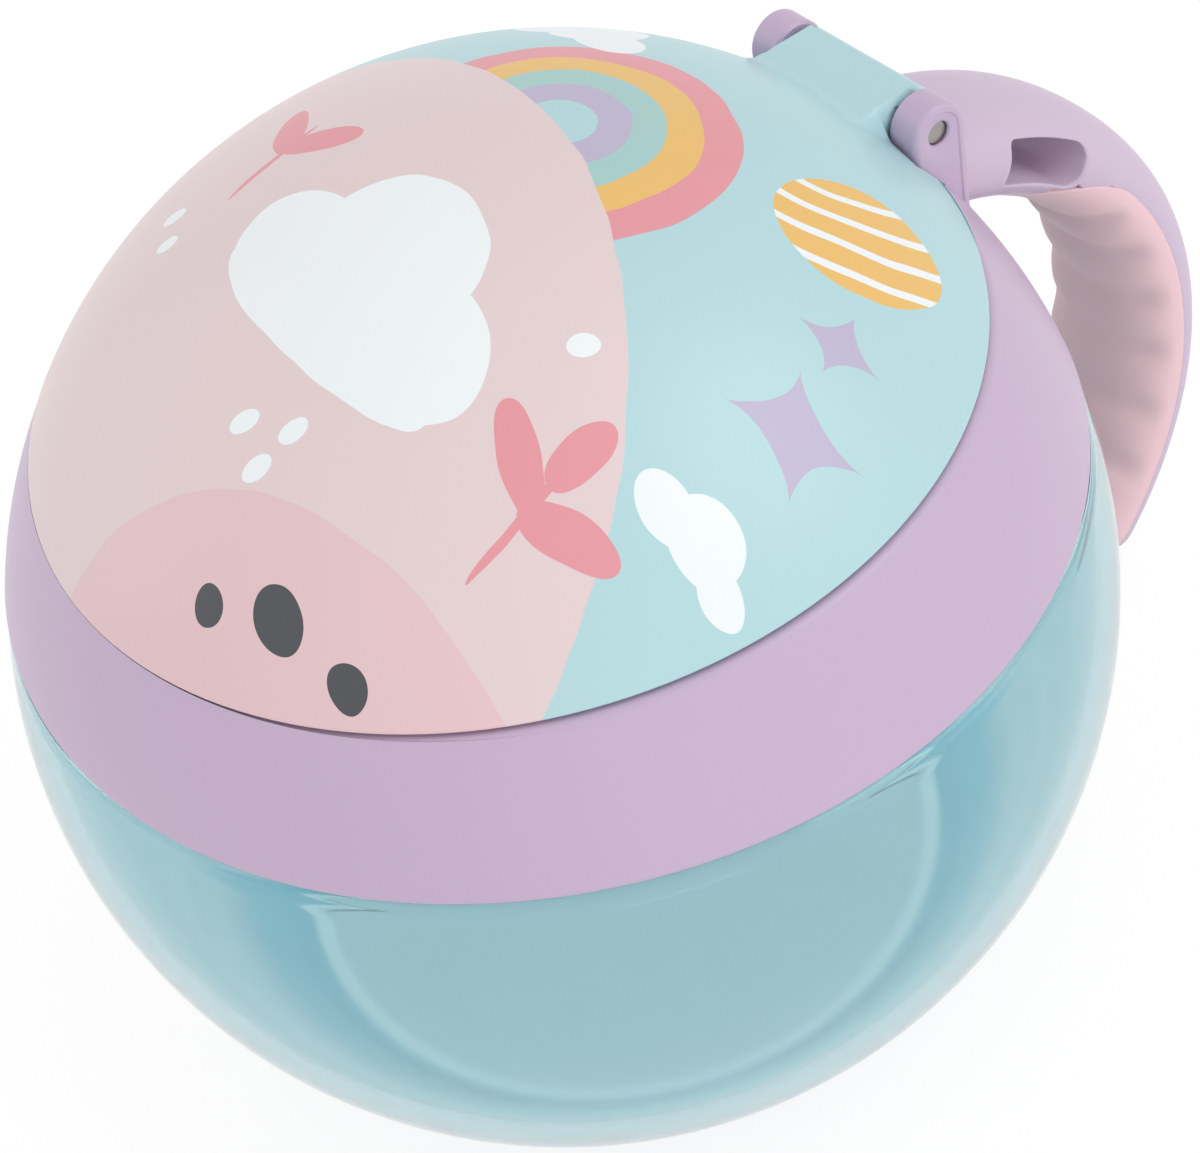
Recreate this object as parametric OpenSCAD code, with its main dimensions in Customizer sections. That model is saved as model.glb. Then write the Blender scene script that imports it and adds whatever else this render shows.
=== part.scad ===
// Toddler snack container: a round clear bowl, a screw-on collar with a C-shaped handle,
// soft petal flaps across the mouth, and a domed flip lid on a steel hinge pin.
// Origin at the middle of the base on the table, +Z up, the lid opens at -Y, the handle is at +Y.

/* [Bowl] */
// Outer radius of the round body
ball_r = 51; // [46:0.5:57]
// Height of the body's centre above the base
ball_z = 38; // [34:0.5:42]
// Wall of the bowl's round part
bowl_wall = 2; // [1.4:0.1:2.8]
// Thickness of the bowl's floor
floor_t = 3; // [2:0.25:5]
// Height of the neck above the shoulder
neck_h = 8; // [7.4:0.1:10]
// Wall of the neck
neck_wall = 2; // [1.4:0.1:2.6]

/* [Thread] */
// Number of thread starts
thread_starts = 4; // [3:1:4]
// Rise of the thread in one full turn
thread_lead = 12; // [10:0.5:13]
// How far a thread ridge stands out
thread_depth = 1; // [0.7:0.1:1.2]
// Axial thickness of a ridge at its root
thread_w = 1.4; // [1:0.1:1.6]
// Arc that each ridge covers
thread_arc = 56; // [40:2:64]
// Clearance between the ridges and the wall that they face
thread_gap = 0.4; // [0.3:0.05:0.6]
// Distance from the neck's rim down to the bowl's ridges
thread_down = 2.2; // [1.8:0.1:2.4]

/* [Collar] */
// How far the collar stands proud of the bowl
collar_proud = 0.2; // [0:0.05:0.5]
// Thinnest wall of the collar, around the neck's rim
collar_wall = 1.2; // [0.9:0.1:1.6]
// Gap between the collar's lower edge and the bowl's shoulder
collar_gap = 0.3; // [0.1:0.05:0.5]
// Thickness of the gasket on the neck's rim
gasket_t = 1.6; // [1.2:0.1:2]
// How far the gasket overhangs the rim on each side
gasket_lip = 0.8; // [0.4:0.1:1]
// Tilt of the lid's parting plane, higher at the hinge
lid_tilt = 2.2; // [1.5:0.1:3]
// Distance of the parting plane from the body's centre
lid_h = 29.4; // [26.5:0.1:32]
// Gap between the lid's edge and the collar's deck
lid_gap = 0.35; // [0.2:0.05:0.5]
// Thickness of the deck at the front
deck_t = 2.6; // [2:0.1:3.4]
// Width of the deck from the mouth to the lid's edge
deck_w = 9; // [7.5:0.25:11]
// Wall of the well around the mouth
well_wall = 1.8; // [1.2:0.1:2.4]
// Depth of the well under the deck
well_h = 9; // [8:0.1:11]

/* [Lid] */
// How far the lid's edge stands out over the collar's edge
lid_over = 0.15; // [0:0.05:0.4]
// How far the dome's centre is above the body's centre
dome_rise = 1.3; // [0:0.1:3]
// Wall of the lid's shell
lid_wall = 2; // [1.5:0.1:2.4]
// Air gap between the shell and the liner
liner_gap = 1.2; // [1:0.1:2]
// Wall of the liner
liner_wall = 1.4; // [1:0.1:2]
// Height of the liner's flange above the shell's edge
flange_up = 0.2; // [0.1:0.05:0.5]
// Clearance of the liner's flange inside the shell
liner_fit = 0.04; // [0.02:0.01:0.1]
// How far the liner's plug goes into the mouth
plug_h = 3.6; // [2.6:0.1:4.2]
// Clearance of the plug inside the mouth
plug_gap = 0.8; // [0.7:0.05:1.2]
// Width of the lid's seal
seal_w = 2.4; // [1.6:0.1:3]
// Thickness of the lid's seal
seal_t = 1; // [0.8:0.05:1.2]
// Distance of the seal from the mouth's edge
seal_in = 1; // [0.6:0.1:1.6]
// Gap that is left between the seal and the deck
seal_touch = 0.02; // [0.01:0.01:0.05]

/* [Hinge] */
// Distance of the hinge pin in front of the lid's rear edge
pin_in = 0.8; // [0.5:0.05:1.2]
// Height of the hinge pin above the lid's rear edge
pin_up = 4.2; // [4:0.05:4.8]
// Radius of the hinge pin
pin_r = 1.28; // [1:0.02:1.5]
// Running clearance of the lid's barrel on the pin
pin_gap = 0.05; // [0.03:0.01:0.1]
// Clearance of the pin in the ears
pin_press = 0.02; // [0.01:0.01:0.03]
// How deep the pin's ends lie inside the ears' outer faces
pin_inset = 0.5; // [0.2:0.1:0.8]
// Radius of the rounded top of each ear
ear_r = 2.95; // [2.6:0.05:3.3]
// Thickness of each ear
ear_t = 3.5; // [2.5:0.1:4.5]
// Half of the space between the ears
ear_in = 7.8; // [6.5:0.1:9]
// Clearance between the lid and the ears
ear_gap = 0.4; // [0.3:0.05:0.6]
// Height of the hinge block's flat top above the pin
block_h = 2.75; // [2.4:0.05:3]
// How far the flat top runs behind the pin
block_back = 1.1; // [0.6:0.1:1.4]
// How far the hinge block starts in front of the pin
block_front = 7; // [5:0.25:9]

/* [Handle] */
// Radius of the handle's curved centre line
arc_r = 35.75; // [32:0.25:40]
// Angle above the body's middle at which the handle leaves the collar
handle_up = 30.4; // [28:0.2:32]
// Angle of the centre line's radius where it leaves the collar
handle_lean = 77; // [74:0.5:79]
// Height of the handle's free end above the base
handle_foot = 0.67; // [0.3:0.05:3]
// Half width of the handle
handle_a = 8.5; // [8:0.25:9.5]
// Half thickness of the handle
handle_b = 5; // [4.7:0.1:5.4]
// Thickness of the soft grip
grip_t = 1.9; // [1.4:0.1:2.1]
// Angle at which the grip's tongue ends near the collar
grip_top = 62; // [58:1:64]
// Angle at which the grip ends on the handle's sides
grip_side = 44; // [40:1:46]
// How far the grip's tongue lies inside the centre line
tongue = 2.6; // [2.3:0.1:2.9]
// Number of finger ripples
ripples = 6; // [4:1:7]
// Angle from one ripple to the next
ripple_step = 12.6; // [10:0.2:14]
// Angle of the first ripple
ripple_first = 34; // [30:1:38]
// Depth of a ripple
ripple_h = 0.7; // [0.3:0.05:1]
// Radius of a ripple's groove
ripple_r = 5; // [4:0.5:7]
// Lower angle of the strap slot
slot_low = 53; // [51:0.5:56]
// Upper angle of the strap slot
slot_high = 66.5; // [64:0.5:68]
// Height of the strap slot
slot_h = 4.3; // [3.6:0.1:4.7]
// How far the slot's middle lies outside the centre line
slot_out = 0.4; // [0.2:0.1:0.8]
// Gap between the ears and the handle's root
root_gap = 0.5; // [0.3:0.05:1]
// Half width of the tenon that holds the handle in the collar
tenon_a = 6; // [4:0.5:6.5]
// Height of the tenon
tenon_h = 2.6; // [2:0.1:2.8]
// How far the tenon goes into the collar
tenon_l = 6; // [4:0.25:6.5]
// How far the tenon runs on inside the handle's root
tenon_root = 2; // [1:0.25:3]
// Height of the tenon above the gasket's seat
tenon_up = 1.1; // [0.9:0.05:1.4]
// Clearance around the tenon
tenon_gap = 0.05; // [0.03:0.01:0.1]

/* [Petals] */
// Thickness of the soft petals and their rim
flap_t = 1; // [0.7:0.05:1.3]
// Width of the slits between the petals
slit = 0.5; // [0.4:0.05:0.8]
// Gap at each petal's root
root_slit = 0.3; // [0.25:0.05:0.5]
// Width of the ledge in the well that the petals' rim is held under
ledge_w = 2; // [1.2:0.1:2.8]
// Thickness of that ledge
ledge_t = 1.2; // [0.8:0.1:1.6]
// Width of the rim outside the petals' corners
rim_w = 3.4; // [2.6:0.1:4.2]
// Thickness of the clamp ring under the rim
clamp_t = 1.4; // [1:0.1:2]
// Height of the clamp ring above the well's lower end
clamp_up = 0.4; // [0.2:0.1:0.8]
// Clearance of the clamp ring and the rim in the well
clamp_gap = 0.05; // [0.03:0.01:0.1]

/* [Hidden] */
$fn = 128;

flaps = 6;                  // one node for each petal
far = 3 * ball_r;           // longer than any piece
lap = ball_r / 250;         // how far joined shapes run into each other

// The ball that the collar continues, and the lid's parting plane across it
collar_r = ball_r + collar_proud;
edge_r = sqrt(pow(collar_r, 2) - pow(lid_h, 2)) + lid_over;
deck_h = lid_h - lid_gap;
mouth_r = edge_r - deck_w;

// Heights of the neck and its gasket, from the deck's lowest point downwards
seat_z = ball_z + deck_h * cos(lid_tilt) - edge_r * sin(lid_tilt) - deck_t;
rim_z = seat_z - gasket_t;
collar_z = rim_z - neck_h;
bowl_top = collar_z - collar_gap;

// The collar's bore, and the neck and thread inside it
bore_r = sqrt(pow(collar_r, 2) - pow(seat_z - ball_z, 2)) - collar_wall;
neck_r = bore_r - thread_gap - thread_depth;
thread_rise = thread_lead * thread_arc / 360;
thread_z = rim_z - thread_down - (thread_rise + thread_w) / 2;
thread_pitch = thread_lead / thread_starts;

// The stack in the well, along the tilted axis
well_low = deck_h - well_h;
clamp_low = well_low + clamp_up;
rim_low = clamp_low + clamp_t;
ledge_low = rim_low + flap_t;
rim_in = mouth_r - clamp_gap - rim_w;    // radius through the petals' corners
flap_d = rim_in * cos(180 / flaps);      // distance of each petal's root from the axis

// The lid
dome_r = sqrt(pow(edge_r, 2) + pow(lid_h - dome_rise, 2));
shell_r = dome_r - lid_wall;
liner_r = shell_r - liner_gap;
plug_r = mouth_r - plug_gap;
flange_low = lid_h + flange_up;
seal_low = deck_h + seal_touch;
seal_r = mouth_r + seal_in;

// The hinge, placed from the lid's rear edge
pin_y = edge_r * cos(lid_tilt) - lid_h * sin(lid_tilt) - pin_in;
pin_z = ball_z + edge_r * sin(lid_tilt) + lid_h * cos(lid_tilt) + pin_up;
ear_out = ear_in + ear_t;
block_a = ear_in - ear_gap;              // half length of the lid's barrel

// The handle's curve: it leaves the collar at a set place, and ends just above the table
arc_y = collar_r * cos(handle_up) - arc_r * cos(handle_lean);
arc_z = ball_z + collar_r * sin(handle_up) - arc_r * sin(handle_lean);
end_angle = asin((arc_z - handle_b - handle_foot) / arc_r);
root_y = pin_y + ear_r + root_gap;       // front face of the handle's root
root_angle = handle_lean + 7;            // past the root's front face
tenon_z = seat_z + tenon_up;
tenon_y = root_y + tenon_root;
section_steps = 48;

// A frame whose axis is the lid's own: it starts at the body's centre and leans to the front.
module tilted() {
    translate([0, 0, ball_z]) rotate([lid_tilt, 0, 0]) children();
}

// Turns a shape drawn around Z so that its axis runs along X through the point (y, z).
module along_x(y, z) {
    translate([0, y, z]) rotate([90, 0, 90]) children();
}

module ball(r) {
    translate([0, 0, ball_z]) sphere(r);
}

module dome(r) {
    translate([0, 0, dome_rise]) sphere(r);
}

module disc(low, high, r) {
    translate([0, 0, low]) cylinder(h = high - low, r = r);
}

module ring(low, high, inner, outer) {
    difference() {
        disc(low, high, outer);
        disc(low - lap, high + lap, inner);
    }
}

// Short ridges of a multi-start thread. Each is an arc of a ring, leaned to the thread's slope.
module ridges(root, crest, z) {
    slope = atan(thread_lead / (2 * PI * neck_r));
    foot = root - lap * sign(crest - root);
    for (i = [0 : thread_starts - 1])
        rotate([0, 0, i * 360 / thread_starts])
            translate([0, 0, z])
                rotate([slope, 0, 0])
                    rotate([0, 0, -thread_arc / 2])
                        rotate_extrude(angle = thread_arc)
                            polygon([
                                [foot, -thread_w / 2],
                                [crest, -thread_w / 4],
                                [crest, thread_w / 4],
                                [foot, thread_w / 2]
                            ]);
}

module bowl() {
    hollow_top = bowl_top - bowl_wall;
    color([0.58, 0.76, 0.80, 0.55]) {
        difference() {
            union() {
                intersection() {
                    ball(ball_r);
                    disc(0, bowl_top, far);
                }
                disc(hollow_top, rim_z, neck_r);
            }
            intersection() {
                ball(ball_r - bowl_wall);
                disc(floor_t, hollow_top, far);
            }
            disc(hollow_top - lap, rim_z + lap, neck_r - neck_wall);
        }
        ridges(neck_r, neck_r + thread_depth, thread_z);
    }
}

module bowl_gasket() {
    color([0.86, 0.88, 0.90])
        ring(rim_z, seat_z, neck_r - neck_wall - gasket_lip, neck_r + gasket_lip);
}

// An upright ear with a round top on the pin's axis.
module ear(side) {
    ear_low = seat_z + tenon_up / 2;
    translate([side > 0 ? ear_in : -ear_out, 0, 0]) {
        along_x(pin_y, pin_z) cylinder(h = ear_t, r = ear_r);
        translate([0, pin_y - ear_r, ear_low]) cube([ear_t, 2 * ear_r, pin_z - ear_low]);
    }
}

// The tenon's outline, grown by a clearance for its socket.
module tenon(gap) {
    translate([-tenon_a - gap, root_y - tenon_l - gap, tenon_z - gap])
        cube([2 * (tenon_a + gap), tenon_y - root_y + tenon_l + gap, tenon_h + 2 * gap]);
}

module collar() {
    color([0.79, 0.71, 0.80]) {
        difference() {
            union() {
                difference() {
                    intersection() {
                        ball(collar_r);
                        disc(collar_z, ball_z + far, far);
                        tilted() disc(-far, deck_h, far);
                    }
                    disc(collar_z - lap, seat_z, bore_r);
                    tilted() disc(0, far, mouth_r);
                }
                for (side = [-1, 1]) ear(side);
            }
            tenon(tenon_gap);
            translate([-far / 2, 0, 0])
                along_x(pin_y, pin_z) cylinder(h = far, r = pin_r + pin_press);
        }
        tilted() {
            ring(well_low, deck_h, mouth_r, mouth_r + well_wall);
            ring(ledge_low, ledge_low + ledge_t, mouth_r - ledge_w, mouth_r + lap);
        }
        ridges(bore_r, bore_r - thread_depth, thread_z - thread_pitch / 2);
    }
}

// Rounded outline of the handle's section: x is the distance from the curve's centre line.
function oval(a, b) = let (power = 2 / 2.2)
    [for (i = [0 : section_steps - 1])
        let (t = i * 360 / section_steps, c = cos(t), s = sin(t))
            [b * sign(c) * pow(abs(c), power), a * sign(s) * pow(abs(s), power)]];

// One stretch of the handle, from one angle to another, with the section given as a child.
module bend(from, to) {
    along_x(arc_y, arc_z) rotate([0, 0, from]) rotate_extrude(angle = to - from)
        translate([arc_r, 0]) children();
}

// The handle's rounded free end: half of the section turned about the end's own centre.
module end_cap(from, to) {
    along_x(arc_y, arc_z) rotate([0, 0, -end_angle]) translate([arc_r, 0, 0])
        rotate([0, 0, -to]) rotate_extrude(angle = to - from)
            intersection() {
                children();
                translate([0, -far]) square([far, 2 * far]);
            }
}

module outer_section() polygon(oval(handle_a, handle_b));
module core_section() polygon(oval(handle_a - grip_t, handle_b - grip_t));
module outer_half() translate([0, -far]) square([far, 2 * far]);

// What the grip takes from a section: everything outside the core.
module grip_room() {
    difference() {
        square([4 * handle_b, 4 * handle_a], center = true);
        core_section();
    }
}

// The inner half of the handle up to the collar, without its sides above the grip's edge.
module grip_reach() {
    difference() {
        bend(-end_angle, grip_top) difference() {
            children();
            outer_half();
        }
        bend(grip_side, grip_top + 2) translate([-tongue, -far]) square([far, 2 * far]);
    }
}

// The slot from side to side: straight at its upper end, round at its lower end.
module strap_slot() {
    along_x(arc_y, arc_z) translate([0, 0, -far / 2]) rotate([0, 0, slot_low]) {
        rotate_extrude(angle = slot_high - slot_low)
            translate([arc_r + slot_out - slot_h / 2, 0]) square([slot_h, far]);
        translate([arc_r + slot_out, 0, 0]) cylinder(h = far, r = slot_h / 2);
    }
}

module handle_frame() {
    color([0.79, 0.71, 0.82]) {
        difference() {
            union() {
                bend(-end_angle, root_angle) outer_section();
                end_cap(0, 180) outer_section();
            }
            grip_reach() grip_room();
            end_cap(90, 180) grip_room();
            ball(collar_r);
            translate([-far, root_y - far, 0]) cube([2 * far, far, far]);
            strap_slot();
        }
        difference() {
            tenon(0);
            translate([-far, tenon_y, 0]) cube([2 * far, far, far]);
        }
    }
}

module handle_grip() {
    color([0.83, 0.70, 0.73])
        difference() {
            union() {
                grip_reach() difference() {
                    outer_section();
                    core_section();
                }
                end_cap(90, 180) difference() {
                    outer_section();
                    core_section();
                }
            }
            // finger ripples: wide shallow grooves across the inside
            for (i = [0 : ripples - 1])
                along_x(arc_y, arc_z) rotate([0, 0, ripple_first - i * ripple_step])
                    translate([arc_r - handle_b - ripple_r + ripple_h, 0, -far / 2])
                        cylinder(h = far, r = ripple_r);
        }
}

module hinge_pin() {
    color([0.66, 0.64, 0.62])
        translate([-ear_out + pin_inset, 0, 0])
            along_x(pin_y, pin_z) cylinder(h = 2 * (ear_out - pin_inset), r = pin_r);
}

// Room for the two ears, cut out of the lid's rear edge.
module ear_pockets() {
    for (side = [-1, 1])
        translate([side > 0 ? block_a : -ear_out - ear_gap, pin_y - ear_r - ear_gap, ball_z])
            cube([ear_t + 2 * ear_gap, far, far]);
}

module lid_shell() {
    color([0.71, 0.85, 0.87])
        difference() {
            union() {
                difference() {
                    tilted() intersection() {
                        dome(dome_r);
                        disc(lid_h, far, far);
                    }
                    ear_pockets();
                }
                translate([-block_a, 0, 0]) {
                    along_x(pin_y, pin_z) cylinder(h = 2 * block_a, r = ear_r);
                    translate([0, pin_y - block_front, pin_z - ear_r])
                        cube([2 * block_a, block_front + block_back, ear_r + block_h]);
                }
            }
            tilted() dome(shell_r);
            translate([-far / 2, 0, 0])
                along_x(pin_y, pin_z) cylinder(h = far, r = pin_r + pin_gap);
        }
}

module lid_liner() {
    flange_top = flange_low + liner_wall;
    color([0.93, 0.94, 0.95])
        difference() {
            tilted() {
                intersection() {
                    dome(liner_r);
                    disc(flange_low, far, far);
                }
                intersection() {
                    dome(shell_r - liner_fit);
                    disc(flange_low, flange_top, far);
                }
                disc(deck_h - plug_h, flange_low + lap, plug_r);
            }
            ear_pockets();
            tilted() {
                intersection() {
                    dome(liner_r - liner_wall);
                    union() {
                        disc(flange_top, far, far);
                        disc(0, far, plug_r - liner_wall);
                    }
                }
                ring(flange_low - lap, seal_low + seal_t, seal_r, seal_r + seal_w);
            }
        }
}

module lid_seal() {
    color([0.86, 0.88, 0.90])
        tilted() ring(seal_low, seal_low + seal_t, seal_r, seal_r + seal_w);
}

module flap_rim() {
    color([0.90, 0.82, 0.90])
        tilted() difference() {
            disc(rim_low, ledge_low, mouth_r - clamp_gap);
            translate([0, 0, rim_low - lap]) rotate([0, 0, -90 + 180 / flaps])
                linear_extrude(flap_t + 2 * lap)
                    circle(r = rim_in, $fn = flaps);
        }
}

module flap_clamp() {
    color([0.79, 0.71, 0.80])
        tilted() ring(clamp_low, rim_low, rim_in, mouth_r - clamp_gap);
}

// One petal: a triangle with its root on one side of the rim's opening and its tip at the axis.
module flap(i) {
    half = 180 / flaps;
    tip = slit / 2 / sin(half);
    root = flap_d - root_slit;
    color([0.93, 0.80, 0.84])
        tilted() translate([0, 0, rim_low]) rotate([0, 0, -90 + i * 2 * half])
            linear_extrude(flap_t)
                polygon([
                    [tip, 0],
                    [root, (root - tip) * tan(half)],
                    [root, (tip - root) * tan(half)]
                ]);
}

bowl();
bowl_gasket();
collar();
handle_frame();
handle_grip();
hinge_pin();
lid_shell();
lid_liner();
lid_seal();
flap_rim();
flap_clamp();
flap(0);  // flap_1
flap(1);  // flap_2
flap(2);  // flap_3
flap(3);  // flap_4
flap(4);  // flap_5
flap(5);  // flap_6
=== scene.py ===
import math

import bmesh
import bpy
from mathutils import Matrix, Vector


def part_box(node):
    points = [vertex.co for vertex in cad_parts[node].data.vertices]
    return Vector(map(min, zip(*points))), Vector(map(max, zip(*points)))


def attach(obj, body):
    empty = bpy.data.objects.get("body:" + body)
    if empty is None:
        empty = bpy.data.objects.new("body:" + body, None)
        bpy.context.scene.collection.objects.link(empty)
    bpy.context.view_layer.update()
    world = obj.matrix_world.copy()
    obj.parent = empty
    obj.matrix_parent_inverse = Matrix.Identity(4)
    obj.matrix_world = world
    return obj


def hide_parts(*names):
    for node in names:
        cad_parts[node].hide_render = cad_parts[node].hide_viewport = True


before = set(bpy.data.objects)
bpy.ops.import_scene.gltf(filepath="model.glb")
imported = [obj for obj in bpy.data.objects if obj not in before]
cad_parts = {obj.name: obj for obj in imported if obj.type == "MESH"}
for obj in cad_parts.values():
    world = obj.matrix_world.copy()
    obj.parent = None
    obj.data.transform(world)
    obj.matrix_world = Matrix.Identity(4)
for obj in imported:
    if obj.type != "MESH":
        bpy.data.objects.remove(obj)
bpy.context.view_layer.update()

bl_info = {
    "name": "Toddler Snack Cup",
    "version": (1, 0, 0),
    "blender": (4, 5, 0),
    "location": "3D View > Sidebar > Snack Cup",
    "description": "Builds a clear snack cup with a screw collar, petals, a flip lid and a soft-grip handle",
    "category": "Object",
}

MM = 0.001
FULL = 2 * math.pi
WELD = 1e-6
BOWL_LOW, BOWL_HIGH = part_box("bowl")
PIN_LOW, PIN_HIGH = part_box("hinge_pin")


def srgb(red, green, blue):
    """A colour picked on screen, as the linear RGBA that shaders take."""
    linear = [((c / 255 + 0.055) / 1.055) ** 2.4 if c > 10 else c / 3295 for c in (red, green, blue)]
    return (*linear, 1.0)


def length(name, text, size):
    return bpy.props.FloatProperty(name=name, description=text, default=size, unit="LENGTH", precision=5)


def angle(name, text, degrees):
    return bpy.props.FloatProperty(
        name=name, description=text, default=math.radians(degrees), subtype="ANGLE"
    )


def amount(name, text, value):
    return bpy.props.FloatProperty(name=name, description=text, default=value)


def colour(name, text, *rgb):
    return bpy.props.FloatVectorProperty(
        name=name, description=text, subtype="COLOR", size=4, min=0, max=1, default=srgb(*rgb)
    )


class SnackCupSizes(bpy.types.PropertyGroup):
    """Sizes of the cup's pieces, in metres and radians."""

    ball_r: length("Ball radius", "Outer radius of the round bowl", BOWL_HIGH.x)
    ball_z: length("Ball height", "Height of the ball's centre above the base", 38 * MM)
    bowl_wall: length("Bowl wall", "Wall of the clear bowl", 2 * MM)
    floor_t: length("Floor", "Thickness of the bowl's floor", 3 * MM)
    foot_rounding: length("Foot rounding", "Rounding of the bowl's base edge", 1.1 * MM)
    foot_recess: length("Foot recess", "How far the middle of the base is raised", 0.5 * MM)
    shoulder_z: length("Shoulder", "Height of the bowl's shoulder", 52.914 * MM)
    rim_z: length("Rim", "Height of the neck's rim", BOWL_HIGH.z)
    neck_r: length("Neck radius", "Outer radius of the neck", 42.185 * MM)
    neck_wall: length("Neck wall", "Wall of the neck", 2 * MM)

    thread_depth: length("Thread depth", "How far a thread ridge stands out", 1 * MM)
    thread_w: length("Thread width", "Width of a thread ridge at its root", 1.4 * MM)
    thread_lead: length("Thread lead", "Rise of the thread in one turn", 12 * MM)
    thread_z: length("Thread height", "Height of the middle of the neck's ridges", 57.38 * MM)
    thread_arc: angle("Thread arc", "Arc that one ridge covers", 56)
    thread_starts: bpy.props.IntProperty(name="Thread starts", description="Number of ridges", default=4)

    collar_r: length("Collar radius", "Radius of the ball that the collar continues", 51.2 * MM)
    collar_z: length("Collar edge", "Height of the collar's lower edge", 53.214 * MM)
    seat_z: length("Gasket seat", "Height of the underside of the deck", 62.814 * MM)
    bore_r: length("Collar bore", "Radius of the collar's bore", 43.585 * MM)
    collar_rounding: length("Collar rounding", "Rounding of the collar's outer edges", 0.45 * MM)
    lid_tilt: angle("Lid tilt", "Lean of the parting plane to the front", 2.2)
    deck_h: length("Deck", "Distance of the deck from the ball's centre", 29.05 * MM)
    deck_r: length("Deck radius", "Outer radius of the deck", 42.16 * MM)
    mouth_r: length("Mouth radius", "Radius of the mouth", 33.0675 * MM)
    well_wall: length("Well wall", "Wall of the well around the mouth", 1.8 * MM)
    well_h: length("Well depth", "Depth of the well under the deck", 9 * MM)
    ledge_w: length("Ledge", "Width of the ledge that holds the petals' rim", 2 * MM)
    ledge_low: length("Ledge height", "Underside of the ledge from the ball's centre", 22.85 * MM)
    ledge_t: length("Ledge thickness", "Thickness of the ledge", 1.2 * MM)

    dome_r: length("Dome radius", "Outer radius of the lid's dome", 50.589 * MM)
    dome_rise: length("Dome rise", "Height of the dome's centre over the ball's centre", 1.3 * MM)
    lid_h: length("Lid edge height", "Distance of the lid's edge from the ball's centre", 29.4 * MM)
    edge_r: length("Lid edge radius", "Radius of the lid's edge", 42.0675 * MM)
    lid_wall: length("Lid wall", "Wall of the lid's shell", 1.6 * MM)
    lip: length("Lip rounding", "Rounding of the lid's edge", 0.55 * MM)
    block_soft: length("Block fillet", "Softness of the fillet from the dome to the hinge block", 1.0 * MM)

    pin_y: length("Pin place", "Place of the hinge pin behind the middle", (PIN_LOW.y + PIN_HIGH.y) / 2)
    pin_z: length("Pin height", "Height of the hinge pin", (PIN_LOW.z + PIN_HIGH.z) / 2)
    pin_r: length("Pin radius", "Radius of the hinge pin", 1.28 * MM)
    pin_a: length("Pin half length", "Half of the hinge pin's length", 10.7 * MM)
    ear_in: length("Ear space", "Half of the space between the ears", 7.8 * MM)
    ear_t: length("Ear thickness", "Thickness of each ear", 3.5 * MM)
    ear_r: length("Ear radius", "Radius of the ears' round tops", 2.95 * MM)
    ear_low: length("Ear foot", "Height of the ears' feet inside the collar", 62.95 * MM)
    ear_gap: length("Ear gap", "Clearance between the lid and the ears", 0.4 * MM)
    block_h: length("Block height", "Height of the block's flat top above the pin", 2.75 * MM)
    block_back: length("Block back", "How far the flat top runs behind the pin", 1.1 * MM)

    arc_y: length("Handle centre y", "Centre of the handle's curve", 36.119 * MM)
    arc_z: length("Handle centre z", "Height of the centre of the handle's curve", 29.075 * MM)
    arc_r: length("Handle curve", "Radius of the handle's centre line", 35.75 * MM)
    handle_a: length("Handle half width", "Half width of the handle", 8.5 * MM)
    handle_b: length("Handle half thickness", "Half thickness of the handle", 5 * MM)
    handle_end: angle("Handle end", "Angle of the handle's free end", -40.894)
    root_y: length("Handle root", "Place of the handle's root face", 43.558 * MM)
    slot_low: angle("Slot low end", "Angle of the strap slot's round end", 49.8)
    slot_high: angle("Slot high end", "Angle of the strap slot's straight end", 66.5)
    slot_h: length("Slot height", "Height of the strap slot", 4.3 * MM)
    slot_out: length("Slot offset", "Distance of the slot from the handle's centre line", 0.42 * MM)
    slot_corner: length("Slot corner", "Rounding of the slot's corners at its round end", 1.6 * MM)
    slot_rounding: length("Slot rounding", "Rounding of the slot's rim", 0.35 * MM)

    grip_t: length("Grip skin", "Thickness of the grip over the handle's core", 1.5 * MM)
    grip_edge: angle("Grip edge", "Angle around the section at which the grip's sides end", 86)
    grip_side: angle("Grip side", "Angle at which the grip ends on the handle's sides", 40)
    grip_tongue: angle("Grip tongue", "How much further the grip's tongue reaches under the handle", 22.5)
    grip_step: length("Grip step", "How far the grip stands over the handle at its edge", 0.05 * MM)
    ripple_h: length("Ripple depth", "Depth of the finger ripples", 0.8 * MM)
    ripple_first: angle("First ripple", "Angle of the first finger ripple", 34)
    ripple_step: angle("Ripple step", "Angle from one ripple to the next", 12.6)
    ripples: bpy.props.IntProperty(name="Ripples", description="Number of finger ripples", default=6)

    flap_t: length("Petal thickness", "Thickness of the soft petals", 1 * MM)
    flap_low: length("Petal height", "Underside of the petals from the ball's centre", 21.85 * MM)
    flap_root: length("Petal root", "Distance of a petal's root from the mouth's middle", 25.3495 * MM)
    flap_corner: length("Petal corner", "Distance of the opening's corners in the petals' rim", 29.6175 * MM)
    slit: length("Slit", "Width of the slits between the petals", 0.5 * MM)


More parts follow.
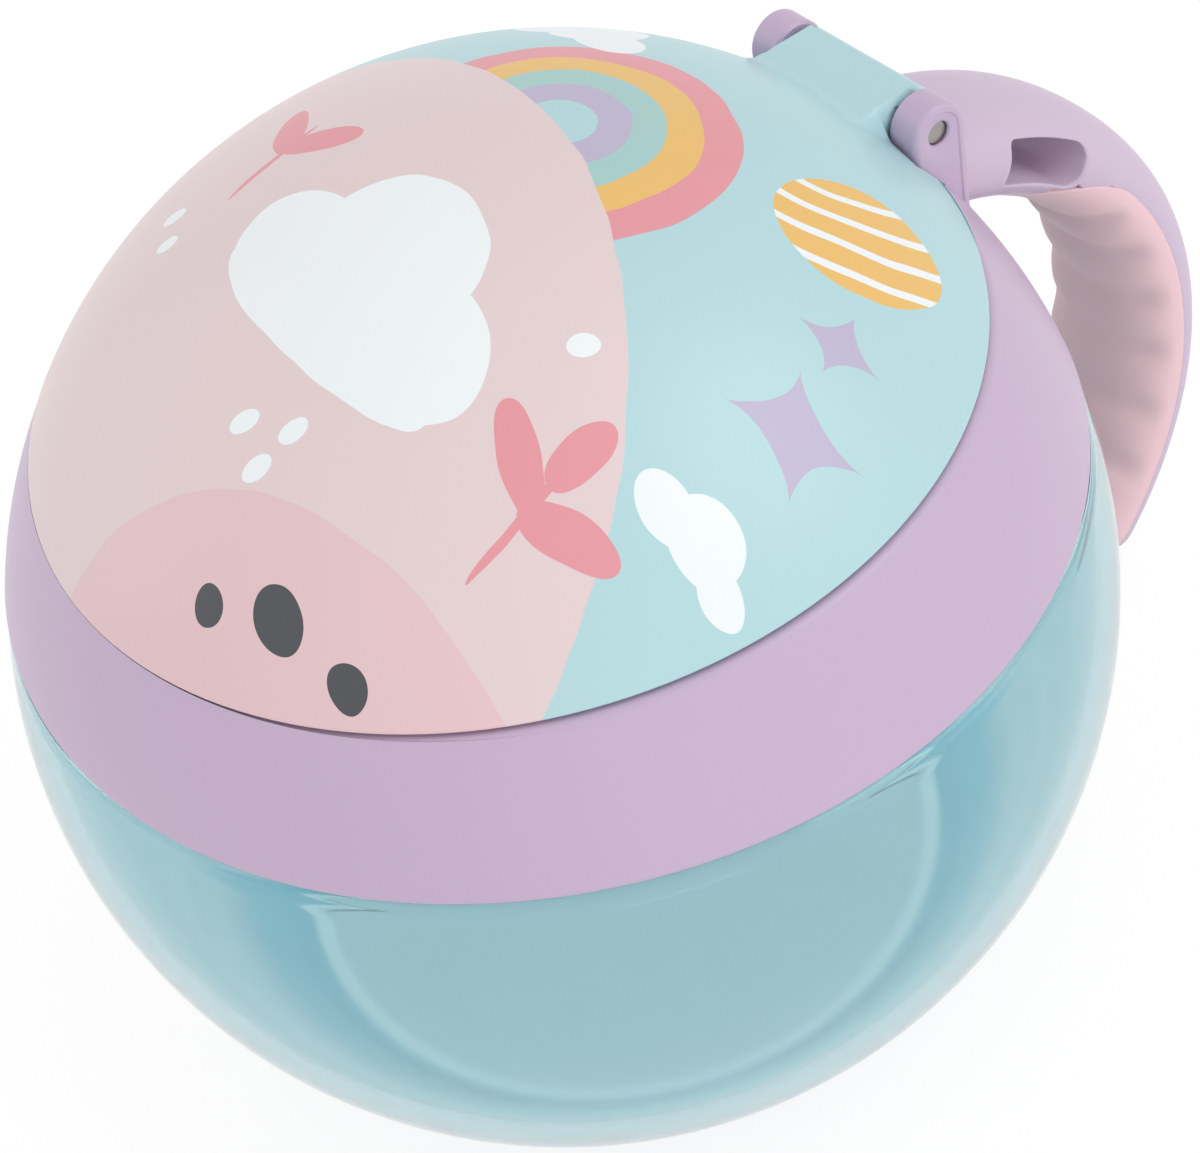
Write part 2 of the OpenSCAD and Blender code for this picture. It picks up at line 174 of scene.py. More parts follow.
class SnackCupColours(bpy.types.PropertyGroup):
    """Colours of the cup's finishes and of the print on its lid."""

    lid: colour("Lid", "Pale blue of the lid", 180, 216, 221)
    collar: colour("Collar", "Lilac of the collar", 198, 175, 202)
    handle: colour("Handle", "Lilac of the handle", 207, 187, 209)
    grip: colour("Grip", "Dusty pink of the soft grip", 243, 205, 212)
    bowl: colour("Bowl", "Tint of the clear bowl", 212, 233, 237)
    # painted shade: a deeper teal painted on the foot's outer skin, standing in for light passing long ways
    # through the thick foot
    bowl_foot_shade: colour("Bowl foot", "Deeper tint of the bowl's thick foot", 112, 192, 214)
    liner: colour("Liner", "White of the inner lid", 232, 234, 236)
    seal: colour("Seal", "Milky white of the seals", 214, 220, 224)
    petals: colour("Petals", "Pink of the soft petals", 214, 180, 188)
    pin: colour("Pin", "Grey of the steel pin", 165, 160, 156)
    print_pink: colour("Print pink", "Pale pink of the printed hills", 228, 208, 209)
    print_rose: colour("Print rose", "Deeper pink of the printed hills", 229, 196, 200)
    print_white: colour("Print white", "White of the printed clouds", 240, 245, 248)
    print_coral: colour("Print coral", "Coral of the print", 229, 152, 160)
    print_mustard: colour("Print mustard", "Mustard of the printed sun", 236, 190, 108)
    print_mint: colour("Print mint", "Mint of the print", 165, 205, 202)
    print_lilac: colour("Print lilac", "Lilac of the print", 190, 181, 207)
    print_charcoal: colour("Print charcoal", "Charcoal of the print", 72, 75, 79)


def sizes():
    return bpy.context.scene.snack_cup_sizes


def colours():
    return bpy.context.scene.snack_cup_colours


# ---------------------------------------------------------------- modelling helpers


def verts_of(geom):
    return [g for g in geom if isinstance(g, bmesh.types.BMVert)]


def edges_of(geom):
    return [g for g in geom if isinstance(g, bmesh.types.BMEdge)]


def sweep(bm, geom, angle, steps, cent=(0, 0, 0), axis=(0, 0, 1), rise=0.0, merge=False):
    """Turns geometry about an axis and skins its way. Returns the last vertices and edges."""
    swept = bmesh.ops.spin(
        bm, geom=geom, cent=cent, axis=axis, dvec=(0, 0, rise), angle=angle, steps=steps,
        use_merge=merge, use_duplicate=False,
    )
    return [g for g in swept["geom_last"] if not isinstance(g, bmesh.types.BMFace)]


def soften(bm, geom, offset, segments, affect="EDGES"):
    """Rounds edges, or the corners of an outline."""
    bmesh.ops.bevel(
        bm, geom=geom, offset=offset, offset_type="OFFSET", segments=segments, profile=0.5,
        affect=affect, clamp_overlap=False, material=-1,
    )


def rotate(bm, verts, angle, axis="Z"):
    bmesh.ops.rotate(bm, verts=verts, cent=(0, 0, 0), matrix=Matrix.Rotation(angle, 3, axis))


def move(bm, verts, *way):
    bmesh.ops.translate(bm, verts=verts, vec=way)


def thicken(bm, height):
    """Raises a flat face into a plate."""
    raised = bmesh.ops.extrude_face_region(bm, geom=bm.faces[:])
    move(bm, verts_of(raised["geom"]), 0, 0, height)
    outward(bm)


def outward(bm):
    bmesh.ops.recalc_face_normals(bm, faces=bm.faces[:])


def clamp(value, low=0.0, high=1.0):
    return max(low, min(high, value))


def ease(value):
    """A soft start and end between 0 and 1."""
    t = clamp(value)
    return t * t * (3 - 2 * t)


class Wire:
    """A profile drawn corner by corner in the XZ plane, then rounded and turned about Z."""

    def __init__(self, bm, r, z):
        self.bm = bm
        self.first = self.last = bm.verts.new((r, 0, z))
        self.roundings = []

    def to(self, *corners):
        """Straight lines to corners, each a radius, a height and sometimes a rounding."""
        for r, z, *rounding in corners:
            corner = self.bm.verts.new((r, 0, z))
            self.bm.edges.new((self.last, corner))
            self.last = corner
            self.roundings += [(corner, size) for size in rounding]
        return self

    def round_to(self, r, z, centre_z, steps, *rounding):
        """An arc about a point of the axis."""
        start = math.atan2(self.last.co.z - centre_z, self.last.co.x)
        end = math.atan2(z - centre_z, r)
        self.last = sweep(self.bm, [self.last], end - start, steps, (0, 0, centre_z), (0, -1, 0))[0]
        self.roundings += [(self.last, size) for size in rounding]
        return self

    def close(self, rounding):
        self.bm.edges.new((self.last, self.first))
        self.roundings.append((self.first, rounding))
        return self

    def rounded(self, segments=5):
        for corner, rounding in self.roundings:
            soften(self.bm, [corner], rounding, segments, "VERTICES")
        return self

    def turned(self, steps=128, segments=5):
        """Turns the rounded profile into a closed body."""
        self.rounded(segments)
        sweep(self.bm, self.bm.verts[:] + self.bm.edges[:], FULL, steps, merge=True)
        bmesh.ops.remove_doubles(self.bm, verts=self.bm.verts[:], dist=WELD)
        outward(self.bm)


def tilted(verts, share=None):
    """Leans vertices to the front about the ball's centre, as the lid's parting plane leans."""
    s = sizes()
    centre = Vector((0, 0, s.ball_z))
    for vert in verts:
        turn = Matrix.Rotation(s.lid_tilt * (share(vert) if share else 1.0), 3, "X")
        vert.co = centre + turn @ (vert.co - centre)


def neighbours(verts):
    """The pairs of vertices next to each other around a closed loop."""
    return list(zip(verts, verts[1:] + verts[:1]))


def loop(bm, points):
    """A closed loop through points. Returns its vertices and edges."""
    verts = [bm.verts.new(p) for p in points]
    return verts, [bm.edges.new(pair) for pair in neighbours(verts)]


def bridge(bm, *loops):
    """Skins neighbouring loops one after the other."""
    for near, far in zip(loops, loops[1:]):
        bmesh.ops.bridge_loops(bm, edges=near + far)


def finish_piece(bm, name, material, body, slot, *nodes, sharp=38.0, solidify=None):
    """Makes an object of a mesh that is already in its place, hangs it under its body's empty and hides the
    CAD parts that it replaces.
    """
    mesh = bpy.data.meshes.new(name)
    weighted = bm.verts.layers.deform.active is not None
    bm.to_mesh(mesh)
    bm.free()
    mesh.shade_smooth()
    mesh.set_sharp_from_angle(angle=math.radians(sharp))
    piece = bpy.data.objects.new(name, mesh)
    bpy.context.scene.collection.objects.link(piece)
    mesh.materials.append(material)
    if weighted:
        piece.vertex_groups.new(name="wall")
    if solidify:
        modifier = piece.modifiers.new("Solidify", "SOLIDIFY")
        for key, value in solidify.items():
            setattr(modifier, key, value)
    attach(piece, body)
    if nodes:
        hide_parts(*nodes)
    return piece


# ---------------------------------------------------------------- shader helpers


class Shading:
    """A node tree with short calls for the nodes that the finishes use."""

    def __init__(self, tree):
        self.tree = tree

    def put(self, socket, value):
        if isinstance(value, bpy.types.NodeSocket):
            self.tree.links.new(value, socket)
        else:
            socket.default_value = value

    def fill(self, node, inputs):
        for key, value in inputs.items():
            self.put(node.inputs[key], value)
        return node

    def add(self, kind, inputs, **settings):
        node = self.tree.nodes.new(kind)
        for key, value in settings.items():
            setattr(node, key, value)
        return self.fill(node, inputs)

    def math(self, operation, *values):
        return self.add("ShaderNodeMath", dict(enumerate(values)), operation=operation).outputs[0]

    def vector(self, operation, *values):
        node = self.add("ShaderNodeVectorMath", dict(enumerate(values)), operation=operation)
        return node.outputs["Value" if operation == "LENGTH" else "Vector"]

    def scaled(self, vector, factor):
        """A vector or a colour times a number."""
        node = self.add("ShaderNodeVectorMath", {0: vector, "Scale": factor}, operation="SCALE")
        return node.outputs["Vector"]

    def mix(self, factor, a, b):
        """Two colours mixed."""
        return self.add("ShaderNodeMix", {"Factor": factor, 6: a, 7: b}, data_type="RGBA").outputs[2]

    def noise(self, point, scale, detail, output="Fac"):
        inputs = {"Vector": point, "Scale": scale, "Detail": detail}
        return self.add("ShaderNodeTexNoise", inputs).outputs[output]

    def span(self, value, low, high, to_low=0.0, to_high=1.0, kind="SMOOTHSTEP"):
        limits = {"Value": value, "From Min": low, "From Max": high, "To Min": to_low, "To Max": to_high}
        return self.add("ShaderNodeMapRange", limits, interpolation_type=kind).outputs["Result"]

    def bump(self, height, strength, distance):
        node = self.add("ShaderNodeBump", {"Height": height, "Strength": strength, "Distance": distance})
        return node.outputs["Normal"]

    def group(self, name, **inputs):
        named = {key.capitalize(): value for key, value in inputs.items()}
        return self.add("ShaderNodeGroup", named, node_tree=bpy.data.node_groups[name]).outputs[0]

    def point(self):
        return self.add("ShaderNodeTexCoord", {}).outputs["Object"]

    def seen(self):
        """1 where a surface is seen directly, in a reflection or through the bowl, 0 where it only lights."""
        rays = self.add("ShaderNodeLightPath", {}).outputs
        through = self.math("MAXIMUM", rays["Is Glossy Ray"], rays["Is Transmission Ray"])
        return self.math("MAXIMUM", rays["Is Camera Ray"], through)


def new_group(name, inputs, output, kind="Float"):
    """A shader node group that works on a point. Returns its helper, its inputs and its output socket."""
    tree = bpy.data.node_groups.new(name, "ShaderNodeTree")
    tree.interface.new_socket(name="Point", in_out="INPUT", socket_type="NodeSocketVector")
    for socket, default in inputs.items():
        shape = "Float" if isinstance(default, float) else {3: "Vector", 4: "Color"}[len(default)]
        made = tree.interface.new_socket(name=socket, in_out="INPUT", socket_type="NodeSocket" + shape)
        made.default_value = default
    tree.interface.new_socket(name=output, in_out="OUTPUT", socket_type="NodeSocket" + kind)
    given = tree.nodes.new("NodeGroupInput").outputs
    result = tree.nodes.new("NodeGroupOutput").inputs
    return Shading(tree), given, result[0]


def new_material(name):
    """A material with one Principled BSDF. Returns its helper, the shader node and the output node."""
    material = bpy.data.materials.new(name)
    material.use_nodes = True
    material.node_tree.nodes.clear()
    sh = Shading(material.node_tree)
    shader = sh.add("ShaderNodeBsdfPrincipled", {})
    output = sh.add("ShaderNodeOutputMaterial", {"Surface": shader.outputs["BSDF"]})
    return sh, shader, output


def build_groups():
    """The effects that the finishes share."""
    # Fine grain of a mould's surface on a wider flow, as a height.
    sh, given, result = new_group("Mould grain", {"Scale": 900.0}, "Height")
    flow = sh.math("MULTIPLY", sh.noise(given["Point"], 55.0, 2.0), 0.3)
    sh.put(result, sh.math("ADD", sh.noise(given["Point"], given["Scale"], 3.0), flow))

    # A slow drift of a moulded colour.
    sh, given, result = new_group(
        "Tone drift", {"Colour": (1, 1, 1, 1), "Amount": 0.04, "Scale": 30.0}, "Colour", "Color")
    off = sh.math("SUBTRACT", sh.noise(given["Point"], given["Scale"], 2.0), 0.5)
    change = sh.math("MULTIPLY", sh.math("MULTIPLY", off, given["Amount"]), 2.0)
    sh.put(result, sh.scaled(given["Colour"], sh.math("ADD", 1.0, change)))

    # Faint rubbing from use, as a change of roughness.
    sh, given, result = new_group("Rubbed gloss", {"Roughness": 0.3, "Amount": 0.06}, "Roughness")
    stretched = sh.add("ShaderNodeMapping", {"Vector": given["Point"], "Scale": (1.0, 5.0, 1.0)}).outputs[0]
    hair, cloud = sh.noise(stretched, 160.0, 4.0), sh.noise(given["Point"], 40.0, 2.0)
    rub = sh.math("SUBTRACT", sh.math("MULTIPLY", hair, cloud), 0.25)
    sh.put(result, sh.math("MULTIPLY_ADD", rub, given["Amount"], given["Roughness"]))

    # Ink shapes: each gives 1 inside its outline. Points are in millimetres on the lid's own plan.
    for name in ("Ink ellipse", "Ink sparkle"):
        sockets = {"Centre": (0, 0, 0), "Radii": (1, 1, 1), "Turn": (0, 0, 0)}
        sh, given, result = new_group(name, sockets, "Mask")
        placing = {
            "Vector": given["Point"], "Location": given["Centre"], "Rotation": given["Turn"],
            "Scale": given["Radii"],
        }
        local = sh.add("ShaderNodeMapping", placing, vector_type="TEXTURE").outputs[0]
        if name == "Ink ellipse":
            reach = sh.vector("LENGTH", local)
        else:
            parts = sh.add("ShaderNodeSeparateXYZ", {"Vector": local}).outputs
            arms = [sh.math("POWER", sh.math("ABSOLUTE", parts[i]), 0.62) for i in (0, 1)]
            reach = sh.math("ADD", *arms)
        sh.put(result, sh.math("LESS_THAN", reach, 1.0))

    sh, given, result = new_group("Ink band", {"Centre": (0, 0, 0), "Radius": 5.0, "Width": 1.0}, "Mask")
    away = sh.vector("LENGTH", sh.vector("SUBTRACT", given["Point"], given["Centre"]))
    off = sh.math("ABSOLUTE", sh.math("SUBTRACT", away, given["Radius"]))
    sh.put(result, sh.math("LESS_THAN", off, sh.math("MULTIPLY", given["Width"], 0.5)))


def skin(sh, shader, point, tint, drift, roughness, rub, grain=0.0, scale=900.0):
    """The tone, the gloss and the grain that the moulded finishes share."""
    sh.fill(shader, {
        "Base Color": sh.group("Tone drift", point=point, colour=tint, amount=drift),
        "Roughness": sh.group("Rubbed gloss", point=point, roughness=roughness, amount=rub),
    })
    if grain:
        height = sh.group("Mould grain", point=point, scale=scale)
        sh.put(shader.inputs["Normal"], sh.bump(height, grain, 0.1 * MM))


def moulded(name, tint, roughness, grain=0.05, scale=900.0, subsurface=0.0):
    """Satin moulded plastic or soft rubber."""
    sh, shader, _ = new_material(name)
    skin(sh, shader, sh.point(), tuple(tint), 0.025, roughness, 0.12, grain, scale)
    if subsurface:
        sh.fill(shader, {
            "Subsurface Weight": subsurface, "Subsurface Radius": (1.0, 0.75, 0.75),
            "Subsurface Scale": 1.5 * MM,
        })


def clear_plastic(name, tint, foot_shade_tint):
    """See-through plastic: its teal deepens with the wall, and painted shade gives the outside of the bowl's
    thick foot a deeper teal, standing in for light that passes long ways through the foot.
    """
    s = sizes()
    sh, shader, output = new_material(name)
    point = sh.point()
    height = sh.add("ShaderNodeSeparateXYZ", {"Vector": point}).outputs["Z"]
    away = sh.vector("LENGTH", sh.vector("SUBTRACT", point, (0, 0, s.ball_z)))
    # painted shade: the outer skin is painted a deeper teal up to 10 mm above the base, standing in for the
    # darker look of light passing long ways through the thick foot
    outside = sh.span(away, s.ball_r - 0.7 * MM, s.ball_r - 0.4 * MM)
    foot = sh.math("MULTIPLY", sh.span(height, 4 * MM, 10 * MM, 1.0, 0.0), outside)
    skin(sh, shader, point, sh.mix(foot, tuple(tint), tuple(foot_shade_tint)), 0.015, 0.06, 0.05)
    sh.fill(shader, {"IOR": 1.38, "Transmission Weight": 0.92})
    depth = sh.add("ShaderNodeVolumeAbsorption", {"Color": (0.07, 0.7, 0.79, 1), "Density": 45.0})
    sh.put(output.inputs["Volume"], depth.outputs["Volume"])


def steel(name, tint):
    """Steel pin with fine lines along its length."""
    sh, shader, _ = new_material(name)
    point = sh.point()
    along = sh.add("ShaderNodeMapping", {"Vector": point, "Scale": (60.0, 2500.0, 2500.0)}).outputs[0]
    lines = sh.noise(along, 1.0, 3.0)
    sh.fill(shader, {
        "Base Color": sh.group("Tone drift", point=point, colour=tuple(tint), amount=0.1, scale=400.0),
        "Roughness": sh.span(lines, 0.3, 0.7, 0.32, 0.5),
        "Normal": sh.bump(lines, 0.15, 0.05 * MM),
        "Metallic": 0.9,
    })


def printed_lid(name):
    """Pale blue lid with a simple landscape printed on it."""
    s, c = sizes(), colours()
    sh, shader, _ = new_material(name)
    point = sh.point()
    # The print lies on the lid's own plan: in millimetres, Y towards the hinge, with slightly wavering edges.
    turned = sh.add("ShaderNodeMapping", {
        "Vector": point, "Location": (0, 1000 * s.ball_z * math.sin(-s.lid_tilt), 0),
        "Rotation": (-s.lid_tilt, 0, 0), "Scale": (1000, 1000, 1000),
    })
    flat = sh.vector("MULTIPLY", turned.outputs[0], (1, 1, 0))
    waver = sh.scaled(sh.vector("SUBTRACT", sh.noise(flat, 0.16, 1.0, "Color"), (0.5, 0.5, 0.5)), 0.9)
    plan = sh.vector("MULTIPLY", sh.vector("ADD", flat, waver), (1, 1, 0))

    def shapes(kind, *places):
        """One mask of bands (x, y, radius, width), or of ellipses or sparkles (x, y, two radii, degrees)."""
        whole = None
        for x, y, a, b, *degrees in places:
            if kind == "band":
                size = {"radius": a, "width": b}
            else:
                size = {"radii": (a, b, 1), "turn": (0, 0, math.radians(sum(degrees)))}
            mask = sh.group("Ink " + kind, point=plan, centre=(x, y, 0), **size)
            whole = mask if whole is None else sh.math("MAXIMUM", whole, mask)
        return whole

    rainbow = ((12.9, c.print_coral), (10.1, c.print_mustard), (7.3, c.print_mint), (4.5, c.print_lilac))
    sun = shapes("ellipse", (22.5, 23.0, 6.2, 6.2))
    stripes = shapes("band", *[(12.0, 30.0, radius, 0.75) for radius in (8.6, 11.4, 14.2, 17.0)])
    inks = [(tint, shapes("band", (3.0, 9.5, radius, 2.8))) for radius, tint in rainbow] + [
        (c.print_mustard, sun),
        (c.print_white, sh.math("MULTIPLY", stripes, sun)),
        # two clouds in the sky
        (c.print_white, shapes(
            "ellipse", (-17.5, 22.0, 4.2, 3.0), (-12.6, 24.0, 4.6, 4.2), (-8.0, 22.4, 3.6, 2.6),
            (33.4, -6.2, 2.6, 2.1), (36.2, -5.0, 2.7, 3.0), (38.8, -6.4, 1.9, 1.7))),
        # hills
        (c.print_mint, shapes("ellipse", (-40.0, -18.0, 17.0, 21.0))),
        (c.print_pink, shapes("ellipse", (-6.0, -26.0, 42.0, 36.0))),
        (c.print_rose, shapes("ellipse", (30.0, -51.0, 36.0, 27.0))),
        # a cloud lying on the hills
        (c.print_white, shapes(
            "ellipse", (-2.6, -13.4, 6.2, 5.4), (5.4, -9.4, 8.2, 8.0), (13.6, -13.0, 6.2, 5.6),
            (5.4, -16.6, 13.0, 3.6))),
        # leaves on their stems
        (c.print_coral, shapes(
            "ellipse", (24.8, -12.6, 4.0, 1.7, 148), (30.6, -13.4, 4.0, 1.7, 28), (27.6, -9.0, 1.5, 3.4),
            (27.6, -15.4, 0.35, 5.6), (-16.6, -4.8, 3.8, 1.6, 140), (-11.6, -4.6, 3.8, 1.6, 40),
            (-14.2, -8.2, 0.35, 5.0))),
        # stepping stones up the front hill
        (c.print_charcoal, shapes(
            "ellipse", (11.5, -35.4, 1.5, 1.15, 10), (17.4, -32.6, 2.4, 1.8, 8),
            (24.2, -31.6, 1.7, 1.3, 20))),
        (c.print_lilac, shapes(
            "sparkle", (34.0, 6.0, 5.0, 5.0, 40), (30.2, 14.2, 3.2, 3.2, 25), (-29.0, 12.0, 4.6, 4.6, 20))),
        # drops on the pink
        (c.print_white, shapes(
            "ellipse", (6.0, -25.4, 1.3, 0.85, 60), (9.4, -27.2, 1.3, 0.85, 60), (10.2, -23.6, 1.3, 0.85, 60),
            (22.0, -3.4, 1.3, 0.85, 60), (-20.0, -16.0, 1.3, 0.85, 40), (-17.0, -18.6, 1.2, 0.8, 40))),
    ]
    paint = tuple(c.lid)
    for tint, mask in inks:
        paint = sh.mix(mask, paint, tuple(tint))
    skin(sh, shader, point, paint, 0.02, 0.34, 0.12, 0.03, 700.0)


def finish(name):
    return bpy.data.materials[name]


class SNACKCUP_OT_finishes(bpy.types.Operator):
    """Make the finishes of the plastics, the rubbers, the pin and the printed lid"""

    bl_idname = "snack_cup.finishes"
    bl_label = "Finishes"

    def execute(self, context):
        c = colours()
        build_groups()
        clear_plastic("Clear_bowl", c.bowl, c.bowl_foot_shade)
        moulded("Collar_lilac", c.collar, 0.36)
        moulded("Handle_lilac", c.handle, 0.40)
        moulded("Grip_pink", c.grip, 0.62, grain=0.25, scale=1600.0)
        moulded("Liner_white", c.liner, 0.35)
        moulded("Seal_milky", c.seal, 0.5, grain=0.15, subsurface=0.3)
        moulded("Petal_pink", c.petals, 0.55, grain=0.2, scale=1400.0, subsurface=0.2)
        steel("Pin_steel", c.pin)
        printed_lid("Printed_lid")
        return {"FINISHED"}


# ---------------------------------------------------------------- pieces


def across(radius, height):
    """Radius of a ball's slice at a height from its centre."""
    return math.sqrt(radius ** 2 - height ** 2)


def thread_ridges(bm, root, crest, z):
    """Ridges of the thread: a trapezium swept along a helix, tapered away at both ends."""
    s = sizes()
    steps, end_height = 24, 0.05
    rise = s.thread_lead * s.thread_arc / FULL
    low, half = z - rise / 2, s.thread_w / 2
    for i in range(s.thread_starts):
        before = set(bm.verts)
        verts, _ = loop(bm, [
            (root, 0, low - half), (crest, 0, low - half / 2),
            (crest, 0, low + half / 2), (root, 0, low + half),
        ])
        start = bm.faces.new(verts)
        rotate(bm, verts, i * FULL / s.thread_starts - s.thread_arc / 2)
        last = sweep(bm, [start] + verts + list(start.edges), s.thread_arc, steps, rise=rise / steps)
        for vert in verts + verts_of(last):
            reach = vert.co.xy
            vert.co.xy = reach.normalized() * (root + (reach.length - root) * end_height)
        faces = {f for v in bm.verts if v not in before for f in v.link_faces}
        bmesh.ops.recalc_face_normals(bm, faces=list(faces))


class SNACKCUP_OT_bowl(bpy.types.Operator):
    """Build the clear bowl with its neck, its foot ring and the thread"""

    bl_idname = "snack_cup.bowl"
    bl_label = "Bowl"

    def execute(self, context):
        s = sizes()
        inner = s.ball_r - s.bowl_wall
        neck_in = s.neck_r - s.neck_wall
        hollow_top = s.shoulder_z - s.bowl_wall
        base_r = across(s.ball_r, s.ball_z)
        shoulder_r = across(s.ball_r, s.shoulder_z - s.ball_z)
        bm = bmesh.new()
        foot_in = base_r - 3.5 * MM
        wire = Wire(bm, 0, s.foot_recess).to(
            (foot_in - 1 * MM, s.foot_recess, 0.8 * MM), (foot_in, 0, 0.8 * MM), (base_r, 0, s.foot_rounding),
        )
        wire.round_to(shoulder_r, s.shoulder_z, s.ball_z, 44, 0.6 * MM).to(
            (s.neck_r, s.shoulder_z, 0.6 * MM), (s.neck_r, s.rim_z, 0.4 * MM), (neck_in, s.rim_z, 0.4 * MM),
            (neck_in, hollow_top, 0.9 * MM), (across(inner, hollow_top - s.ball_z), hollow_top, 1.2 * MM),
        )
        wire.round_to(across(inner, s.ball_z - s.floor_t), s.floor_t, s.ball_z, 30, 1.6 * MM)
        wire.to((0, s.floor_t)).turned(144)
        thread_ridges(bm, s.neck_r - 0.1 * MM, s.neck_r + s.thread_depth, s.thread_z)
        finish_piece(bm, "bowl_body", finish("Clear_bowl"), "bowl", "bowl_clear", "bowl")
        return {"FINISHED"}


class SNACKCUP_OT_collar(bpy.types.Operator):
    """Build the lilac screw collar with its deck, its well and the inner thread"""

    bl_idname = "snack_cup.collar"
    bl_label = "Collar"

    def execute(self, context):
        s = sizes()
        bm = bmesh.new()
        deck = s.ball_z + s.deck_h
        well_low = deck - s.well_h
        well_out = s.mouth_r + s.well_wall
        ledge_low = s.ball_z + s.ledge_low
        ledge_top = ledge_low + s.ledge_t
        ledge_in = s.mouth_r - s.ledge_w
        wire = Wire(bm, s.bore_r, s.collar_z).to(
            (s.bore_r, s.seat_z), (well_out, s.seat_z), (well_out, well_low, 0.4 * MM),
            (s.mouth_r, well_low, 0.3 * MM), (s.mouth_r, ledge_low), (ledge_in, ledge_low, 0.25 * MM),
            (ledge_in, ledge_top, 0.35 * MM), (s.mouth_r, ledge_top), (s.mouth_r, deck, 0.7 * MM),
            (s.deck_r, deck, s.collar_rounding),
        )
        low_r = across(s.collar_r, s.collar_z - s.ball_z)
        wire.round_to(low_r, s.collar_z, s.ball_z, 22, s.collar_rounding).close(0.3 * MM).turned(288)

        bore_end, well_end = s.bore_r + 0.2 * MM, well_out + 0.5 * MM
        low, high = s.collar_z, s.ball_z + 28 * MM

        def share(vert):
            """How far a vertex leans with the lid: not at all in the bore, fully at the deck."""
            r = vert.co.xy.length
            if vert.co.z > high or r < well_end:
                return 1.0
            if r < bore_end:
                return 0.0
            return clamp((vert.co.z - low) / (high - low)) ** 2

        seat = [v for v in bm.verts if abs(v.co.z - s.seat_z) < WELD and v.co.xy.length < well_out + WELD]
        tilted(bm.verts, share)
        for vert in seat:
            vert.co.z = s.seat_z
        pitch = s.thread_lead / s.thread_starts
        thread_ridges(bm, s.bore_r + 0.1 * MM, s.bore_r - s.thread_depth, s.thread_z - pitch / 2)
        finish_piece(bm, "collar_ring", finish("Collar_lilac"), "collar", "collar_lilac", "collar")
        return {"FINISHED"}


def ear_outline(bm, x, inset):
    """The outline of an ear at one X: a half circle on the pin, two sides and a foot."""
    s = sizes()
    r = s.ear_r - inset
    low = s.ear_low + inset
    start = bm.verts.new((x, s.pin_y - r, s.pin_z))
    before = set(bm.verts)
    sweep(bm, [start], math.pi, 24, (x, s.pin_y, s.pin_z), (-1, 0, 0))
    arc = [start] + sorted((v for v in bm.verts if v not in before), key=lambda v: v.co.y)
    heights = [s.pin_z + (low - s.pin_z) * i / 8 for i in range(1, 9)]
    down = [bm.verts.new((x, s.pin_y + r, z)) for z in heights]
    up = [bm.verts.new((x, s.pin_y - r, z)) for z in reversed(heights)]
    verts = arc + down + up
    return verts, [bm.edges.get(pair) or bm.edges.new(pair) for pair in neighbours(verts)]


def ear_bore(bm, x, r, outline):
    """A circle about the pin with a vertex for each one of an outline."""
    s = sizes()
    centre = Vector((x, s.pin_y, s.pin_z))
    ways = [Vector((0, vert.co.y - s.pin_y, vert.co.z - s.pin_z)).normalized() for vert in outline]
    return loop(bm, [centre + way * r for way in ways])[1]


class SNACKCUP_OT_ears(bpy.types.Operator):
    """Build the two hinge ears with their raised borders and the bore for the pin"""

    bl_idname = "snack_cup.ears"
    bl_label = "Hinge ears"

    def execute(self, context):
        s = sizes()
        bm = bmesh.new()
        inner, outer = s.ear_in, s.ear_in + s.ear_t
        chamfer, soft = 0.25 * MM, 0.55 * MM
        border = [(inner, chamfer), (inner + chamfer, 0.0), (outer - soft, 0.0)]
        for i in range(1, 6):
            turn = i * math.pi / 10
            border.append((outer - soft * (1 - math.sin(turn)), soft * (1 - math.cos(turn))))
        border += [(outer, 0.78 * MM), (outer - 0.12 * MM, 0.92 * MM)]
        outlines = [ear_outline(bm, x, inset) for x, inset in border]
        # depth under the outer face and radius, in millimetres: a shallow dish, then the hole for the pin
        bores = [(0.14, 1.42), (0.22, 1.26), (0.4, 1.16), (0.55, 1.33), (s.ear_t / MM, 1.33)]
        edges = [found[1] for found in outlines]
        edges += [ear_bore(bm, outer - depth * MM, r * MM, outlines[-1][0]) for depth, r in bores]
        bridge(bm, *edges, edges[0])
        bmesh.ops.mirror(bm, geom=bm.verts[:] + bm.edges[:] + bm.faces[:], axis="X", merge_dist=WELD)
        outward(bm)
        finish_piece(bm, "hinge_ears", finish("Collar_lilac"), "collar", "collar_lilac", sharp=30)
        return {"FINISHED"}


class SNACKCUP_OT_hinge_pin(bpy.types.Operator):
    """Build the steel hinge pin with its rounded ends"""

    bl_idname = "snack_cup.hinge_pin"
    bl_label = "Hinge pin"

    def execute(self, context):
        s = sizes()
        bm = bmesh.new()
        bmesh.ops.create_cone(
            bm, cap_ends=True, cap_tris=False, segments=40, radius1=s.pin_r, radius2=s.pin_r,
            depth=2 * s.pin_a,
        )
        caps = [f for f in bm.faces if len(f.verts) > 4]
        rims = [e for e in bm.edges if any(f in caps for f in e.link_faces)]
        soften(bm, rims, 0.28 * MM, 4)
        ends = [f for f in bm.faces if len(f.verts) > 4]
        bmesh.ops.inset_region(bm, faces=ends, thickness=0.45 * MM, depth=-0.06 * MM)
        rotate(bm, bm.verts, math.pi / 2, "Y")
        move(bm, bm.verts, 0, s.pin_y, s.pin_z)
        finish_piece(bm, "hinge_pin_steel", finish("Pin_steel"), "collar", "pin_steel", "hinge_pin", sharp=30)
        return {"FINISHED"}


def soft_max(a, b, k):
    """The larger of two heights, with a fillet where they cross."""
    h = max(k - abs(a - b), 0.0) / k
    return max(a, b) + h * h * k / 4


